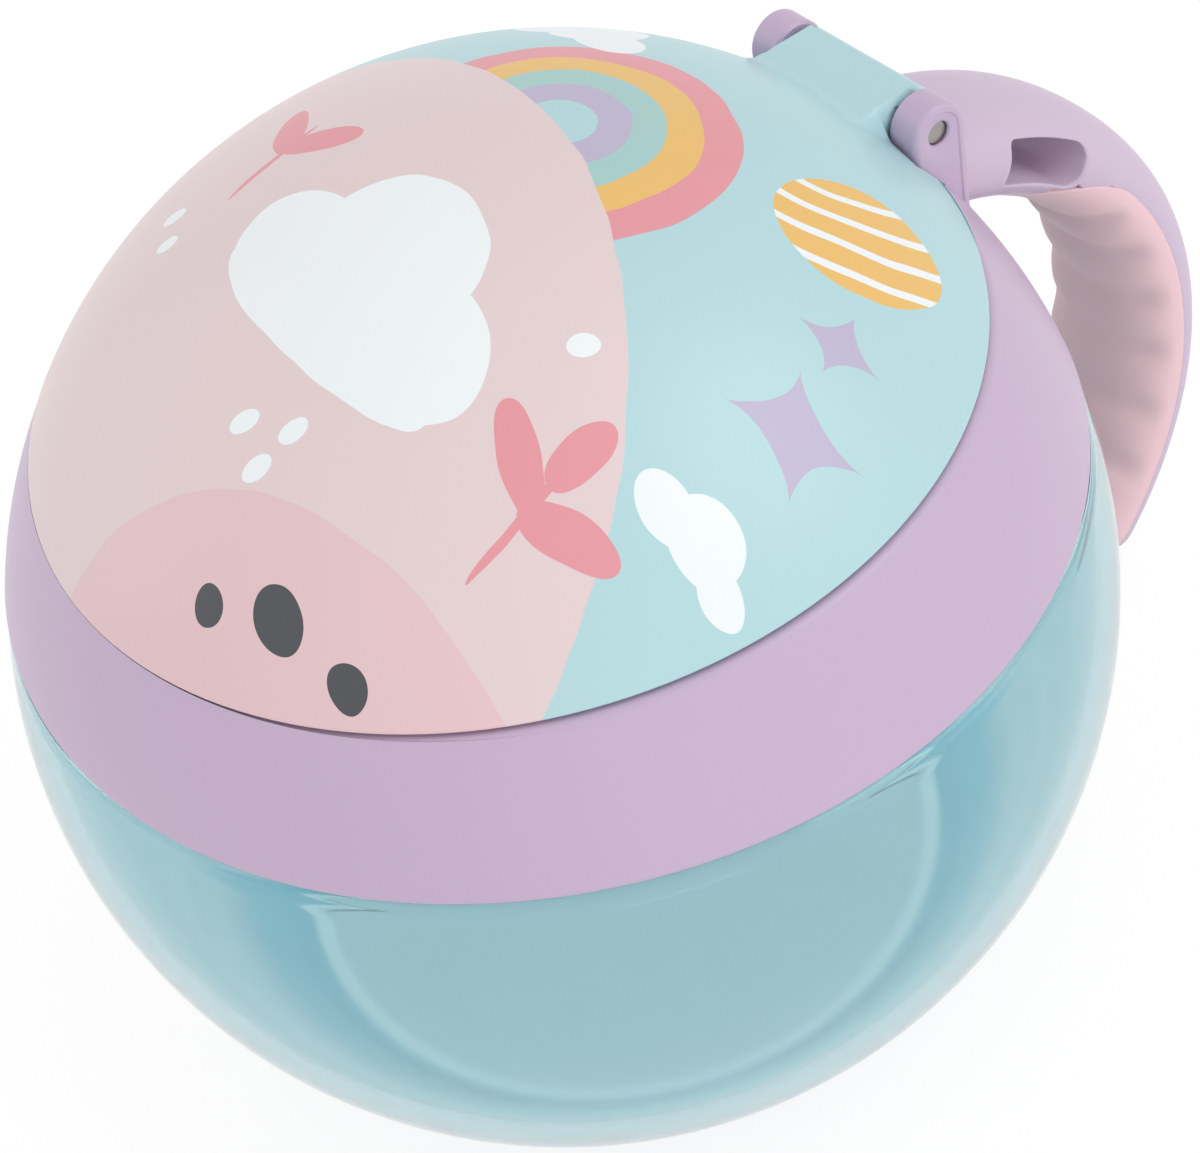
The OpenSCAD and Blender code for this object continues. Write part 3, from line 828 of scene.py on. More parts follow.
class SNACKCUP_OT_lid(bpy.types.Operator):
    """Build the domed lid shell with its hinge block, its barrel and the room for the ears"""

    bl_idname = "snack_cup.lid"
    bl_label = "Lid shell"

    def execute(self, context):
        s = sizes()
        bm = bmesh.new()
        wall = bm.verts.layers.deform.verify()
        centre = s.ball_z + s.dome_rise
        edge_z = s.ball_z + s.lid_h

        def on_dome(r):
            return centre + math.sqrt(max(s.dome_r ** 2 - r * r, 0.0))

        pin = Matrix.Rotation(-s.lid_tilt, 3, "X") @ Vector((0, s.pin_y, s.pin_z - s.ball_z))
        pin.z += s.ball_z
        inner_x, outer_x = s.ear_in - s.ear_gap, s.ear_in + s.ear_t + s.ear_gap
        start_r, pocket_r = 26 * MM, pin.y - s.ear_r - s.ear_gap
        block_phi, pocket_phi = math.asin(inner_x / s.edge_r), math.asin(outer_x / s.edge_r)
        fade_phi, straight_phi = math.radians(36), math.radians(40)
        barrel_turn, barrel_steps = math.radians(118), 20
        near, under_dome = 0.02 * MM, 4e-6

        # the profile stands in the YZ plane, and is swept in steps that are fine near the hinge
        wire = Wire(bm, 0, on_dome(0))
        wire.round_to(start_r, on_dome(start_r), centre, 22)
        wire.round_to(pocket_r, on_dome(pocket_r), centre, 26)
        wire.round_to(s.edge_r, edge_z, centre, 10, s.lip)
        wire.to((s.edge_r - 0.75 * MM, edge_z)).rounded(6)
        smooth_r = max(math.hypot(*v.co.xy) for v in bm.verts if abs(v.co.z - on_dome(v.co.x)) < 2e-6)
        rotate(bm, bm.verts, math.pi / 2)
        geom = bm.verts[:] + bm.edges[:]
        stops = [(0, 0), (block_phi, 16), (pocket_phi, 14), (fade_phi, 22), (math.pi, 66)]
        for (begin, _), (end, steps) in zip(stops, stops[1:]):
            geom = sweep(bm, geom, end - begin, steps, axis=(0, 0, -1))
        bmesh.ops.mirror(bm, geom=bm.verts[:] + bm.edges[:] + bm.faces[:], axis="X", merge_dist=WELD)
        bmesh.ops.remove_doubles(bm, verts=bm.verts[:], dist=WELD)

        # rows and columns near the hinge are straightened, so that the pockets have square walls
        block_top = s.pin_z + s.block_h - s.ball_z
        back_y = math.cos(s.lid_tilt) * (s.pin_y + s.block_back) + math.sin(s.lid_tilt) * block_top
        places = {}
        for vert in bm.verts:
            r = math.hypot(*vert.co.xy)
            places[vert] = (r, math.atan2(abs(vert.co.x), vert.co.y), vert.co.z < on_dome(r) - under_dome)
        gone = []
        for face in bm.faces:
            r, phi = (sum(places[v][i] for v in face.verts) / len(face.verts) for i in (0, 1))
            past_r = smooth_r if phi < block_phi else pocket_r
            if phi < pocket_phi and (r > past_r or any(places[v][2] for v in face.verts)):
                gone.append(face)
        bmesh.ops.delete(bm, geom=gone, context="FACES")

        for vert in bm.verts:
            r, phi, lip = places[vert]
            if r < start_r or phi > straight_phi:
                continue
            side = 1.0 if vert.co.x >= 0 else -1.0
            share = 1.0 - ease((phi - pocket_phi) / (fade_phi - pocket_phi))
            ray = Vector((math.sin(phi), math.cos(phi)))
            straight = Vector((s.edge_r * math.sin(phi), pocket_r))
            first, last = ray * start_r, ray * s.edge_r
            middle = (ray * pocket_r).lerp(straight, share)
            if r <= pocket_r:
                place = first.lerp(middle, (r - start_r) / (pocket_r - start_r))
            elif phi < block_phi + 1e-4 and not lip:
                place = middle.lerp(Vector((last.x, back_y)), (r - pocket_r) / (smooth_r - pocket_r))
            else:
                place = middle.lerp(last, (r - pocket_r) / (s.edge_r - pocket_r))
            vert.co.xy = side * place.x, place.y
            if not lip:
                vert.co.z = on_dome(place.length)

        # the hinge block rises out of the dome with a soft fillet, and its top falls away at the ends
        flat_x, fall, fall_w = inner_x - 0.45 * MM, 3.2, 0.7 * MM
        for vert in bm.verts:
            x, y = abs(vert.co.x), vert.co.y
            if y < 30 * MM or x > outer_x or places[vert][2]:
                continue
            top = s.ball_z + (block_top - y * math.sin(s.lid_tilt)) / math.cos(s.lid_tilt)
            over = max(0.0, x - flat_x)
            top -= fall * over * over / (over + fall_w)
            soft = s.block_soft if y < pocket_r + WELD else 0.2 * MM
            vert.co.z = soft_max(vert.co.z, top, soft)

        # how thick the wall can be before it meets the lid's flat underside
        for vert in bm.verts:
            r, _, lip = places[vert]
            steep = math.sqrt(max(1 - (r / s.dome_r) ** 2, 0.01))
            room = 0.0 if lip else (vert.co.z - edge_z) / steep
            vert[wall][0] = clamp(room / s.lid_wall, 0.02)

        # the pockets' front and outer walls stand down to the lid's edge
        def in_pocket(vert):
            x, y = abs(vert.co.x), vert.co.y
            front = abs(y - pocket_r) < near and inner_x - WELD < x < outer_x + WELD
            return front or (abs(x - outer_x) < near and y > pocket_r - WELD)

        walls = [e for e in bm.edges if e.is_boundary and all(in_pocket(v) for v in e.verts)]
        for vert in verts_of(bmesh.ops.extrude_edge_only(bm, edges=walls)["geom"]):
            vert.co.z = edge_z + 0.1 * MM
            vert[wall][0] = 0.6

        # the barrel: the rear edge of the block turned about the pin, then led down to the lid's edge
        def in_rear(vert):
            return abs(vert.co.y - back_y) < near and abs(vert.co.x) < inner_x + WELD

        rear = {v for e in bm.edges if e.is_boundary and all(in_rear(v) for v in e.verts) for v in e.verts}
        row = sorted(rear, key=lambda v: v.co.x)
        sides = {1: [row[-1]], -1: [row[0]]}

        def next_row(old, y, z):
            """Skins on from one row of vertices to the next, and keeps the two ends for the side walls."""
            edges = [bm.edges.get(pair) for pair in zip(old, old[1:])]
            out = bmesh.ops.extrude_edge_only(bm, edges=edges)["geom"]
            new = sorted(verts_of(out), key=lambda v: v.co.x)
            for vert in new:
                vert.co.yz = y, z
                vert[wall][0] = 1.0
            sides[1].append(new[-1])
            sides[-1].append(new[0])
            return new

        start = math.atan2(row[0].co.z - pin.z, row[0].co.y - pin.y)
        reach = math.hypot(row[0].co.z - pin.z, row[0].co.y - pin.y)
        for i in range(1, barrel_steps + 1):
            turn = start - barrel_turn * i / barrel_steps
            r = reach + (s.ear_r - reach) * min(1.0, 3 * i / barrel_steps)
            row = next_row(row, pin.y + r * math.cos(turn), pin.z + r * math.sin(turn))
        foot = s.edge_r - 0.35 * MM
        for back, up in ((0, 1.5), (0, 0.5), (0.15, 0.15), (0.5, 0)):
            row = next_row(row, foot - back * MM, edge_z + up * MM)

        # the block's side walls, with the bore for the pin
        for side in (1, -1):
            wall_x = side * inner_x
            on_wall = [v for v in bm.verts if abs(v.co.x - wall_x) < near]
            column = [v for v in on_wall if v.is_boundary and v.co.z > edge_z + 1 * MM
                      and pocket_r - WELD < v.co.y < back_y - WELD]
            low = min((v for v in on_wall if abs(v.co.y - pocket_r) < near), key=lambda v: v.co.z)
            outline = [low] + sorted(column, key=lambda v: v.co.y) + sides[side]
            edges = [bm.edges.get(pair) or bm.edges.new(pair) for pair in neighbours(outline)]
            middle = Vector((wall_x, pin.y, pin.z))
            ways = [Vector((0, v.co.y - pin.y, v.co.z - pin.z)).normalized() for v in outline]
            bore, bore_edges = loop(bm, [middle + way * (s.pin_r + 0.06 * MM) for way in ways])
            for vert in bore:
                vert[wall][0] = 1.0
            bridge(bm, edges, bore_edges)
        tilted(bm.verts)
        outward(bm)
        top = max(bm.faces, key=lambda f: f.calc_center_median().z)
        if top.normal.z < 0:
            bmesh.ops.reverse_faces(bm, faces=bm.faces[:])
        finish_piece(
            bm, "lid_dome", finish("Printed_lid"), "lid", "lid_blue", "lid_shell", sharp=40,
            solidify={
                "thickness": s.lid_wall, "offset": -1.0, "use_even_offset": False, "vertex_group": "wall",
                "thickness_vertex_group": 0.0,
            },
        )
        return {"FINISHED"}


class SNACKCUP_OT_liner(bpy.types.Operator):
    """Build the white inner lid and its soft seal"""

    bl_idname = "snack_cup.liner"
    bl_label = "Inner lid"

    def execute(self, context):
        s = sizes()
        bm = bmesh.new()
        centre, deck = s.ball_z + s.dome_rise, s.ball_z + s.deck_h
        flange = s.ball_z + s.lid_h + 0.2 * MM
        plug_r, plug_low, wall = s.mouth_r - 0.8 * MM, deck - 3.6 * MM, 1.4 * MM
        outer, rim_ball = 47.389 * MM, 48.55 * MM
        inner, low_r = outer - wall, plug_r - wall
        rim_r = across(rim_ball, flange + wall - centre)
        seal_r, seal_top = s.mouth_r + 1 * MM, deck + 1.02 * MM
        seal_out = seal_r + 2.4 * MM
        wire = Wire(bm, 0, centre + inner)
        wire.round_to(low_r, centre + across(inner, low_r), centre, 30, 0.8 * MM).to(
            (low_r, plug_low, 0.5 * MM), (plug_r, plug_low, 0.6 * MM), (plug_r, flange, 0.3 * MM),
            (seal_r, flange), (seal_r, seal_top), (seal_out, seal_top), (seal_out, flange, 0.15 * MM),
            (rim_r, flange, 0.3 * MM), (rim_r, flange + wall, 0.3 * MM),
            (across(outer, flange + wall - centre), flange + wall),
        )
        wire.round_to(0, centre + outer, centre, 30).turned(128, 4)
        # flattened at the back, to leave room for the hinge
        flat_y, flat_w = 37.9 * MM, 13 * MM
        for vert in bm.verts:
            if abs(vert.co.x) < flat_w:
                vert.co.y = min(vert.co.y, flat_y)
        tilted(bm.verts)
        finish_piece(bm, "lid_inner", finish("Liner_white"), "lid", "liner_white", "lid_liner")

        bm = bmesh.new()
        seal_low = deck + 0.02 * MM
        Wire(bm, seal_r, seal_low).to(
            (seal_out, seal_low, 0.35 * MM), (seal_out, seal_top, 0.1 * MM), (seal_r, seal_top, 0.1 * MM),
        ).close(0.35 * MM).turned(128, 4)
        tilted(bm.verts)
        finish_piece(bm, "lid_seal_ring", finish("Seal_milky"), "lid", "seal_soft", "lid_seal")
        return {"FINISHED"}


class SNACKCUP_OT_gasket(bpy.types.Operator):
    """Build the soft gasket on the neck's rim and the ring that clamps the petals"""

    bl_idname = "snack_cup.gasket"
    bl_label = "Gasket and clamp ring"

    def execute(self, context):
        s = sizes()
        bm = bmesh.new()
        low_r, high_r = s.neck_r - s.neck_wall - 0.8 * MM, s.neck_r + 0.8 * MM
        soft = 0.5 * MM
        Wire(bm, low_r, s.rim_z).to(
            (high_r, s.rim_z, soft), (high_r, s.seat_z, soft), (low_r, s.seat_z, soft),
        ).close(soft).turned()
        finish_piece(bm, "neck_gasket", finish("Seal_milky"), "gasket", "seal_soft", "bowl_gasket")

        bm = bmesh.new()
        low, high = s.ball_z + s.flap_low - 1.4 * MM, s.ball_z + s.flap_low
        out = s.mouth_r - 0.05 * MM
        Wire(bm, s.flap_corner, low).to(
            (out, low, 0.3 * MM), (out, high, 0.1 * MM), (s.flap_corner, high, 0.1 * MM),
        ).close(0.3 * MM).turned(segments=3)
        tilted(bm.verts)
        finish_piece(bm, "petal_clamp", finish("Collar_lilac"), "collar", "collar_lilac", "flap_clamp")
        return {"FINISHED"}


class SNACKCUP_OT_petals(bpy.types.Operator):
    """Build the soft rim in the mouth and its six petals"""

    bl_idname = "snack_cup.petals"
    bl_label = "Petals"

    def execute(self, context):
        s = sizes()
        low = s.ball_z + s.flap_low
        half, sharp = math.radians(30), 1.2

        def rims(bm):
            """The sharp edges around the top and the underside of a plate."""
            return [e for e in bm.edges if len(e.link_faces) == 2 and e.calc_face_angle() > sharp
                    and abs(e.verts[0].co.z - e.verts[1].co.z) < WELD]

        bm = bmesh.new()
        rim_r = s.mouth_r - 0.05 * MM
        outer = bmesh.ops.create_circle(bm, cap_ends=False, segments=96, radius=rim_r)["verts"]
        outer_edges = list({e for v in outer for e in v.link_edges})
        inner = bmesh.ops.create_circle(bm, cap_ends=False, segments=6, radius=s.flap_corner)["verts"]
        rotate(bm, outer + inner, half)
        bmesh.ops.subdivide_edges(bm, edges=list({e for v in inner for e in v.link_edges}), cuts=15)
        bmesh.ops.bridge_loops(bm, edges=outer_edges + [e for e in bm.edges if e not in outer_edges])
        thicken(bm, s.flap_t)
        soften(bm, rims(bm), 0.2 * MM, 3)
        move(bm, bm.verts, 0, 0, low)
        tilted(bm.verts)
        finish_piece(bm, "petal_rim", finish("Petal_pink"), "collar", "flap_soft", "flap_rim")

        tip = s.slit / 2 / math.sin(half)
        side = (s.flap_root - tip) * math.tan(half)
        for i in range(6):
            bm = bmesh.new()
            verts, _ = loop(bm, [(tip, 0, 0), (s.flap_root, -side, 0), (s.flap_root, side, 0)])
            bm.faces.new(verts)
            soften(bm, verts, 0.9 * MM, 5, "VERTICES")
            thicken(bm, s.flap_t)
            soften(bm, rims(bm), 0.22 * MM, 3)
            flats = [f for f in bm.faces if len(f.verts) > 6 and abs(f.normal.z) > 0.9]
            bmesh.ops.inset_region(bm, faces=flats, thickness=1.2 * MM, depth=-0.1 * MM)
            rotate(bm, bm.verts, math.radians(60 * i - 90))
            move(bm, bm.verts, 0, 0, low)
            tilted(bm.verts)
            flap = f"flap_{i + 1}"
            finish_piece(bm, f"petal_{i + 1}", finish("Petal_pink"), flap, "flap_soft", flap, sharp=50)
        return {"FINISHED"}


# ---------------------------------------------------------------- handle


POWER = 2 / 2.2  # squareness of the handle's section: 1 is an ellipse


def signed_power(value, power):
    return math.copysign(abs(value) ** power, value)


def on_curve(r, theta, x=0.0):
    """A point at a distance and an angle from the centre of the handle's curve."""
    s = sizes()
    return Vector((x, s.arc_y + r * math.cos(theta), s.arc_z + r * math.sin(theta)))


def oval(t, a, b):
    """A point of the handle's section: (distance from the centre line, sideways)."""
    return b * signed_power(math.cos(t), POWER), a * signed_power(math.sin(t), POWER)


def on_handle(theta, t, sink=0.0):
    """A point of the handle's skin at an angle of the curve and an angle of the section."""
    s = sizes()
    out, x = oval(t, s.handle_a - sink, s.handle_b - sink)
    return on_curve(s.arc_r + out, theta, x)


def on_end(psi, t, sink=0.0):
    """A point of the rounded free end. At 0 it joins the handle, at a quarter turn it is the tip."""
    s = sizes()
    a, b = s.handle_a - sink, s.handle_b - sink
    out = oval(t, a, b)[0] * math.cos(psi)
    along = b * math.sin(psi)
    c = min(1.0, (math.hypot(out, along) / b) ** (1 / POWER))
    x = math.copysign(a * (1 - c * c) ** (POWER / 2), math.sin(t)) if abs(math.sin(t)) > 1e-9 else 0.0
    end = s.handle_end
    radial = Vector((0, math.cos(end), math.sin(end)))
    onward = Vector((0, math.sin(end), -math.cos(end)))
    return on_curve(s.arc_r, end, x) + radial * out + onward * along


def root_angle(t):
    """Where the handle's skin meets its root face or sinks into the collar."""
    s = sizes()
    centre, sunk_r = Vector((0, 0, s.ball_z)), s.collar_r - 0.7 * MM
    theta, last, step = math.radians(62), math.radians(86), math.radians(0.05)
    while theta < last:
        place = on_handle(theta, t)
        if place.y < s.root_y or (place - centre).length < sunk_r:
            break
        theta += step
    return theta


def grip_top(t):
    """The upper end of the grip: low at its sides, high under the handle, with rounded corners."""
    s = sizes()
    corner_w, corner_drop = 0.13, math.radians(3.2)
    u = clamp(1 - abs(t - math.pi) / (math.pi - s.grip_edge))
    corner = max(0.0, 1 - u / corner_w)
    return s.grip_side + s.grip_tongue * math.sin(u * math.pi / 2) ** 0.88 - corner_drop * corner * corner


def slot_reach(way, low, high, half, round_corner):
    """Distance from the slot's middle to its outline, with crisp corners at its high end."""
    crisp_corner = 0.6 * MM
    for i in range(500):
        d = i * 0.02 * MM
        u, v = way[0] * d, abs(way[1] * d)
        corner = round_corner if u < 0 else crisp_corner
        over_u = max(low + corner - u, u - high + corner)
        over_v = v - half + corner
        over = math.hypot(over_u, over_v) if over_u > 0 and over_v > 0 else max(over_u, over_v)
        if over > corner:
            break
    return max(0, i - 1) * 0.02 * MM


class SNACKCUP_OT_handle(bpy.types.Operator):
    """Build the lilac handle with its strap slot and its rounded free end"""

    bl_idname = "snack_cup.handle"
    bl_label = "Handle"

    def execute(self, context):
        s = sizes()
        bm = bmesh.new()
        around, top, end = 96, math.radians(80), s.handle_end
        steps = round(math.degrees(top - end))
        ring = bmesh.ops.create_circle(bm, cap_ends=False, segments=around, radius=s.handle_b)["verts"]
        for i, vert in enumerate(ring):
            vert.co = on_handle(top, FULL * i / around)
        geom = ring + list({e for v in ring for e in v.link_edges})
        rows = [list(ring)]
        for _ in range(steps):
            geom = sweep(bm, geom, (top - end) / steps, 1, (0, s.arc_y, s.arc_z), (-1, 0, 0))
            rows.append(verts_of(geom))

        def section_angle(vert):
            """The angle around the section at which a vertex lies."""
            out = math.hypot(vert.co.y - s.arc_y, vert.co.z - s.arc_z) - s.arc_r
            c = signed_power(clamp(out / s.handle_b, -1.0), 1 / POWER)
            n = signed_power(clamp(vert.co.x / s.handle_a, -1.0), 1 / POWER)
            return math.atan2(n, c) % FULL

        place = {}
        for k, row in enumerate(rows):
            theta = top + (end - top) * k / steps
            place.update({vert: (theta, section_angle(vert)) for vert in row})

        # the free end: rings that close over the tip
        edges = edges_of(geom)
        here = {v: place[v][1] for v in rows[-1]}
        caps = 14
        for k in range(1, caps):
            psi = math.pi / 2 * k / caps
            made = bmesh.ops.extrude_edge_only(bm, edges=edges)["geom"]
            after = {}
            for vert in verts_of(made):
                after[vert] = next(here[v] for e in vert.link_edges for v in e.verts if v in here)
            for vert, t in after.items():
                vert.co = on_end(psi, t)
                place[vert] = (end - psi, t)
            edges = [e for e in edges_of(made) if all(v in after for v in e.verts)]
            here = after
        tip = bm.verts.new(on_end(math.pi / 2, 0.0))
        place[tip] = (end - math.pi / 2, math.pi / 2)
        for e in edges:
            bm.faces.new((*e.verts, tip))

        # the root follows the collar, and the skin under the grip is sunk, in degrees from the grip's edges
        bend = math.radians(60)
        side_start, side_run, top_start, top_run = 3, 6, 1.5, 2
        for vert, (theta, t) in place.items():
            if theta > bend:
                last = root_angle(t)
                vert.co = on_handle(bend + (theta - bend) * (last - bend) / (top - bend), t)
            away = math.degrees(math.pi - s.grip_edge - abs(t - math.pi))
            top_gap = math.degrees(grip_top(t) - theta)
            if away > side_start and top_gap > top_start:
                deep = s.grip_t * min(1.0, (away - side_start) / side_run, (top_gap - top_start) / top_run)
                vert.co = on_handle(theta, t, deep) if theta > end - 1e-6 else on_end(end - theta, t, deep)
        bmesh.ops.contextual_create(bm, geom=[e for e in bm.edges if e.is_boundary])
        self.cut_slot(bm, place)
        outward(bm)
        finish_piece(
            bm, "handle_body", finish("Handle_lilac"), "collar", "handle_lilac", "handle_frame", sharp=42,
        )
        return {"FINISHED"}

    def cut_slot(self, bm, place):
        """Opens both flanks, draws the slot's rounded rim on each, and joins the two with a tunnel."""
        s = sizes()
        middle = (s.slot_low + s.slot_high) / 2
        r = s.arc_r + s.slot_out
        half = s.slot_h / 2
        high = (s.slot_high - middle) * r
        # the flanks are opened between these degrees of the curve and of the section
        curve_from, curve_to, section_from, section_to = 47.4, 69, 48, 124
        gone = []
        for face in bm.faces:
            count = len(face.verts)
            if count > 4 or any(v not in place for v in face.verts):
                continue
            theta, t = (math.degrees(sum(place[v][i] for v in face.verts) / count) for i in (0, 1))
            if curve_from < theta < curve_to and section_from < min(t, 360 - t) < section_to:
                gone.append(face)
        bmesh.ops.delete(bm, geom=gone, context="FACES")
        soft = s.slot_rounding
        rims = [(soft * 1.8, 0.0)]
        for i in range(5):
            turn = i * math.pi / 8
            rims.append((soft * (1 - math.sin(turn)), soft * (1 - math.cos(turn))))
        tunnel = []
        for side in (1, -1):
            hole = [e for e in bm.edges if e.is_boundary and all(v.co.x * side > 2 * MM for v in e.verts)]
            # the hole's corners, one after the other around it
            ring = list(hole[0].verts)
            links = {}
            for e in hole:
                for v in e.verts:
                    links.setdefault(v, []).append(e.other_vert(v))
            while True:
                following = next(v for v in links[ring[-1]] if v is not ring[-2])
                if following is ring[0]:
                    break
                ring.append(following)
            ways = []
            for vert in ring:
                y, z = vert.co.y - s.arc_y, vert.co.z - s.arc_z
                way = Vector(((math.atan2(z, y) - middle) * r, math.hypot(y, z) - s.arc_r - s.slot_out))
                ways.append(way.normalized())
            previous = hole
            for grow, deep in rims:
                points = []
                for way in ways:
                    reach = slot_reach(way, -high, high, half, s.slot_corner) + grow
                    out = s.slot_out + way.y * reach
                    c = min(1.0, abs(out) / s.handle_b) ** (1 / POWER)
                    x = s.handle_a * (1 - c * c) ** (POWER / 2) - deep
                    points.append(on_curve(s.arc_r + out, middle + way.x * reach / r, side * x))
                edges = loop(bm, points)[1]
                bridge(bm, previous, edges)
                previous = edges
            tunnel.append(previous)
        bridge(bm, *tunnel)


class SNACKCUP_OT_grip(bpy.types.Operator):
    """Build the soft grip with its finger ripples"""

    bl_idname = "snack_cup.grip"
    bl_label = "Grip"

    def execute(self, context):
        s = sizes()
        bm = bmesh.new()
        columns, rows, caps = 72, 200, 16
        bmesh.ops.create_grid(bm, x_segments=columns, y_segments=rows + caps, size=1.0)
        end = s.handle_end
        last_ripple = s.ripple_first - (s.ripples - 1) * s.ripple_step
        fade, rounding, half_w = math.radians(5), 0.4 * MM, 8 * MM
        for vert in bm.verts:
            u = (vert.co.x + 1) / 2
            v = (1 - vert.co.y) / 2 * (rows + caps)
            t = s.grip_edge + 2 * (math.pi - s.grip_edge) * u
            lift, near_top = 0.0, 1.0
            if v <= rows:
                high = grip_top(t)
                theta = high + (end - high) * v / rows
                wave = (0.5 + 0.5 * math.cos(FULL * (theta - s.ripple_first) / s.ripple_step)) ** 1.6
                reach = clamp((s.ripple_first + s.ripple_step * 0.5 - theta) / fade)
                reach *= clamp((theta - last_ripple + s.ripple_step * 0.5) / fade)
                lift = s.ripple_h * wave * ease((-math.cos(t) - 0.12) / 0.6) * reach
                near_top = (high - theta) * s.arc_r
            near_side = min(u, 1 - u) * 2 * half_w
            inside = min(1.0, near_top / rounding, near_side / rounding)
            lift -= s.grip_step * math.sqrt(max(0.0, 1 - (1 - inside) ** 2))
            if v <= rows:
                vert.co = on_handle(theta, t, lift)
            else:
                vert.co = on_end(math.pi / 2 * (v - rows) / caps, t, lift)
        bmesh.ops.remove_doubles(bm, verts=bm.verts[:], dist=WELD)
        outward(bm)
        inner = min(bm.faces, key=lambda f: f.calc_center_median().y)
        if inner.normal.y > 0:
            bmesh.ops.reverse_faces(bm, faces=bm.faces[:])
        finish_piece(
            bm, "handle_soft_grip", finish("Grip_pink"), "collar", "grip_pink", "handle_grip", sharp=60,
            solidify={"thickness": s.grip_t * 0.5, "offset": -1.0},
        )
        return {"FINISHED"}


# ---------------------------------------------------------------- stage


class SnackCupStage(bpy.types.PropertyGroup):
    """The camera, the lamps and the floor."""

    eye: bpy.props.FloatVectorProperty(
        name="Eye", description="Place of the camera", default=(0.16501, -0.08669, 0.22132),
        subtype="TRANSLATION")
    lens: amount("Lens", "Focal length in millimetres", 84.0)
    ambient: amount("Ambient", "Strength of the soft light from all round", 0.74)
    key: amount("Key", "Power of the main lamp in watts", 2.2)
    fill: amount("Fill", "Power of the fill lamp in watts", 0.9)
    side: amount("Side", "Power of the low lamp at the side in watts", 0.5)
    floor_glow: amount("Floor glow", "Strength of the floor's own light where it is seen", 1.08)
    floor_white: amount("Floor white", "Share of that light in the floor, beside its shadow", 0.8)


def soft_lamp(name, place, target, size, power):
    lamp = bpy.data.lights.new(name, "AREA")
    lamp.shape = "DISK"
    lamp.size = size
    lamp.energy = power
    holder = bpy.data.objects.new(name, lamp)
    holder.location = place
    holder.rotation_euler = (Vector(target) - Vector(place)).to_track_quat("-Z", "Y").to_euler()
    bpy.context.scene.collection.objects.link(holder)
    return holder


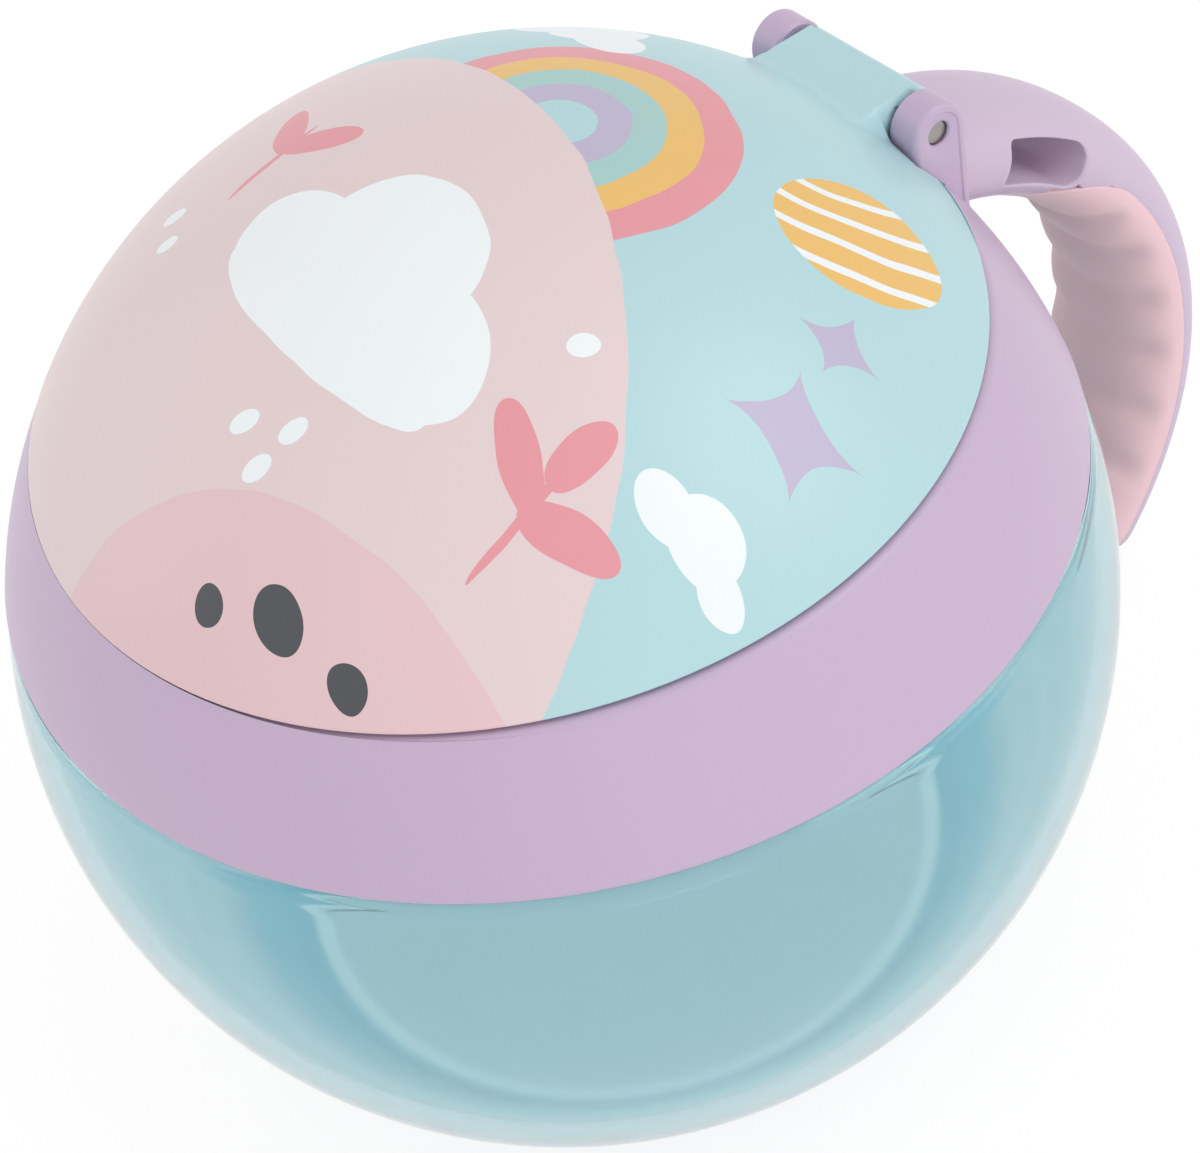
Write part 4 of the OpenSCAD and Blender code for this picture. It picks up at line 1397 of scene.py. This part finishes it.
class SNACKCUP_OT_stage(bpy.types.Operator):
    """Set up the camera, the soft studio light and the pale floor"""

    bl_idname = "snack_cup.stage"
    bl_label = "Stage"

    def execute(self, context):
        scene = context.scene
        st = scene.snack_cup_stage
        scene.view_settings.view_transform = "Standard"

        camera = bpy.data.cameras.new("Camera")
        camera.lens = st.lens
        camera.sensor_width = 36
        camera.sensor_fit = "HORIZONTAL"
        camera.clip_start, camera.clip_end = 0.01, 20
        holder = bpy.data.objects.new("Camera", camera)
        right = Vector((0.60146, 0.78414, -0.15290))
        up = Vector((-0.49613, 0.51662, 0.69783))
        back = Vector((0.62618, -0.34385, 0.69976))
        turn = Matrix((right, up, back)).transposed()
        holder.matrix_world = Matrix.Translation(st.eye) @ turn.to_4x4()
        scene.collection.objects.link(holder)
        scene.camera = holder

        soft_lamp("Key", (0.55, 0.45, 0.75), (0, 0, 0.04), 0.7, st.key)
        soft_lamp("Fill", (-0.62, -0.52, 0.4), (0, 0, 0.04), 0.8, st.fill)
        soft_lamp("Side", (0.56, -0.2, 0.13), (0, 0.05, 0.04), 0.3, st.side).visible_glossy = False

        world = bpy.data.worlds.new("Studio")
        scene.world = world
        world.use_nodes = True
        world.node_tree.nodes.clear()
        sh = Shading(world.node_tree)
        strength = sh.span(sh.seen(), 0.0, 1.0, st.ambient, 1.0, "LINEAR")
        light = sh.add("ShaderNodeBackground", {"Color": (1, 1, 1, 1), "Strength": strength})
        sh.add("ShaderNodeOutputWorld", {"Surface": light.outputs[0]})

        bm = bmesh.new()
        bmesh.ops.create_circle(bm, cap_ends=True, segments=96, radius=4.0)
        mesh = bpy.data.meshes.new("Floor")
        bm.to_mesh(mesh)
        bm.free()
        floor = bpy.data.objects.new("Floor", mesh)
        scene.collection.objects.link(floor)
        sh, shader, output = new_material("Pale_floor")
        sh.fill(shader, {"Base Color": (0.9, 0.9, 0.9, 1), "Roughness": 1.0, "Specular IOR Level": 0.0})
        glow = sh.add("ShaderNodeEmission", {"Color": (1, 1, 1, 1), "Strength": st.floor_glow})
        blend = sh.add("ShaderNodeMixShader", {
            "Fac": sh.math("MULTIPLY", sh.seen(), st.floor_white), 1: shader.outputs[0], 2: glow.outputs[0],
        })
        sh.put(output.inputs["Surface"], blend.outputs[0])
        mesh.materials.append(finish("Pale_floor"))
        return {"FINISHED"}


STEPS = (
    SNACKCUP_OT_stage,
    SNACKCUP_OT_finishes,
    SNACKCUP_OT_bowl,
    SNACKCUP_OT_gasket,
    SNACKCUP_OT_collar,
    SNACKCUP_OT_ears,
    SNACKCUP_OT_hinge_pin,
    SNACKCUP_OT_petals,
    SNACKCUP_OT_liner,
    SNACKCUP_OT_lid,
    SNACKCUP_OT_handle,
    SNACKCUP_OT_grip,
)


class SNACKCUP_PT_panel(bpy.types.Panel):
    """Lists the cup's pieces and its stage"""

    bl_idname = "SNACKCUP_PT_panel"
    bl_label = "Snack Cup"
    bl_space_type = "VIEW_3D"
    bl_region_type = "UI"
    bl_category = "Snack Cup"

    def draw(self, context):
        for step in STEPS:
            self.layout.operator(step.bl_idname)


CLASSES = (SnackCupSizes, SnackCupColours, SnackCupStage, *STEPS, SNACKCUP_PT_panel)


def register():
    for cls in CLASSES:
        bpy.utils.register_class(cls)
    scene = bpy.types.Scene
    scene.snack_cup_sizes = bpy.props.PointerProperty(type=SnackCupSizes)
    scene.snack_cup_colours = bpy.props.PointerProperty(type=SnackCupColours)
    scene.snack_cup_stage = bpy.props.PointerProperty(type=SnackCupStage)


def unregister():
    del bpy.types.Scene.snack_cup_stage
    del bpy.types.Scene.snack_cup_colours
    del bpy.types.Scene.snack_cup_sizes
    for cls in reversed(CLASSES):
        bpy.utils.unregister_class(cls)


def main():
    register()
    bpy.ops.snack_cup.stage()
    bpy.ops.snack_cup.finishes()
    bpy.ops.snack_cup.bowl()
    bpy.ops.snack_cup.gasket()
    bpy.ops.snack_cup.collar()
    bpy.ops.snack_cup.ears()
    bpy.ops.snack_cup.hinge_pin()
    bpy.ops.snack_cup.petals()
    bpy.ops.snack_cup.liner()
    bpy.ops.snack_cup.lid()
    bpy.ops.snack_cup.handle()
    bpy.ops.snack_cup.grip()


if __name__ == "__main__":
    main()
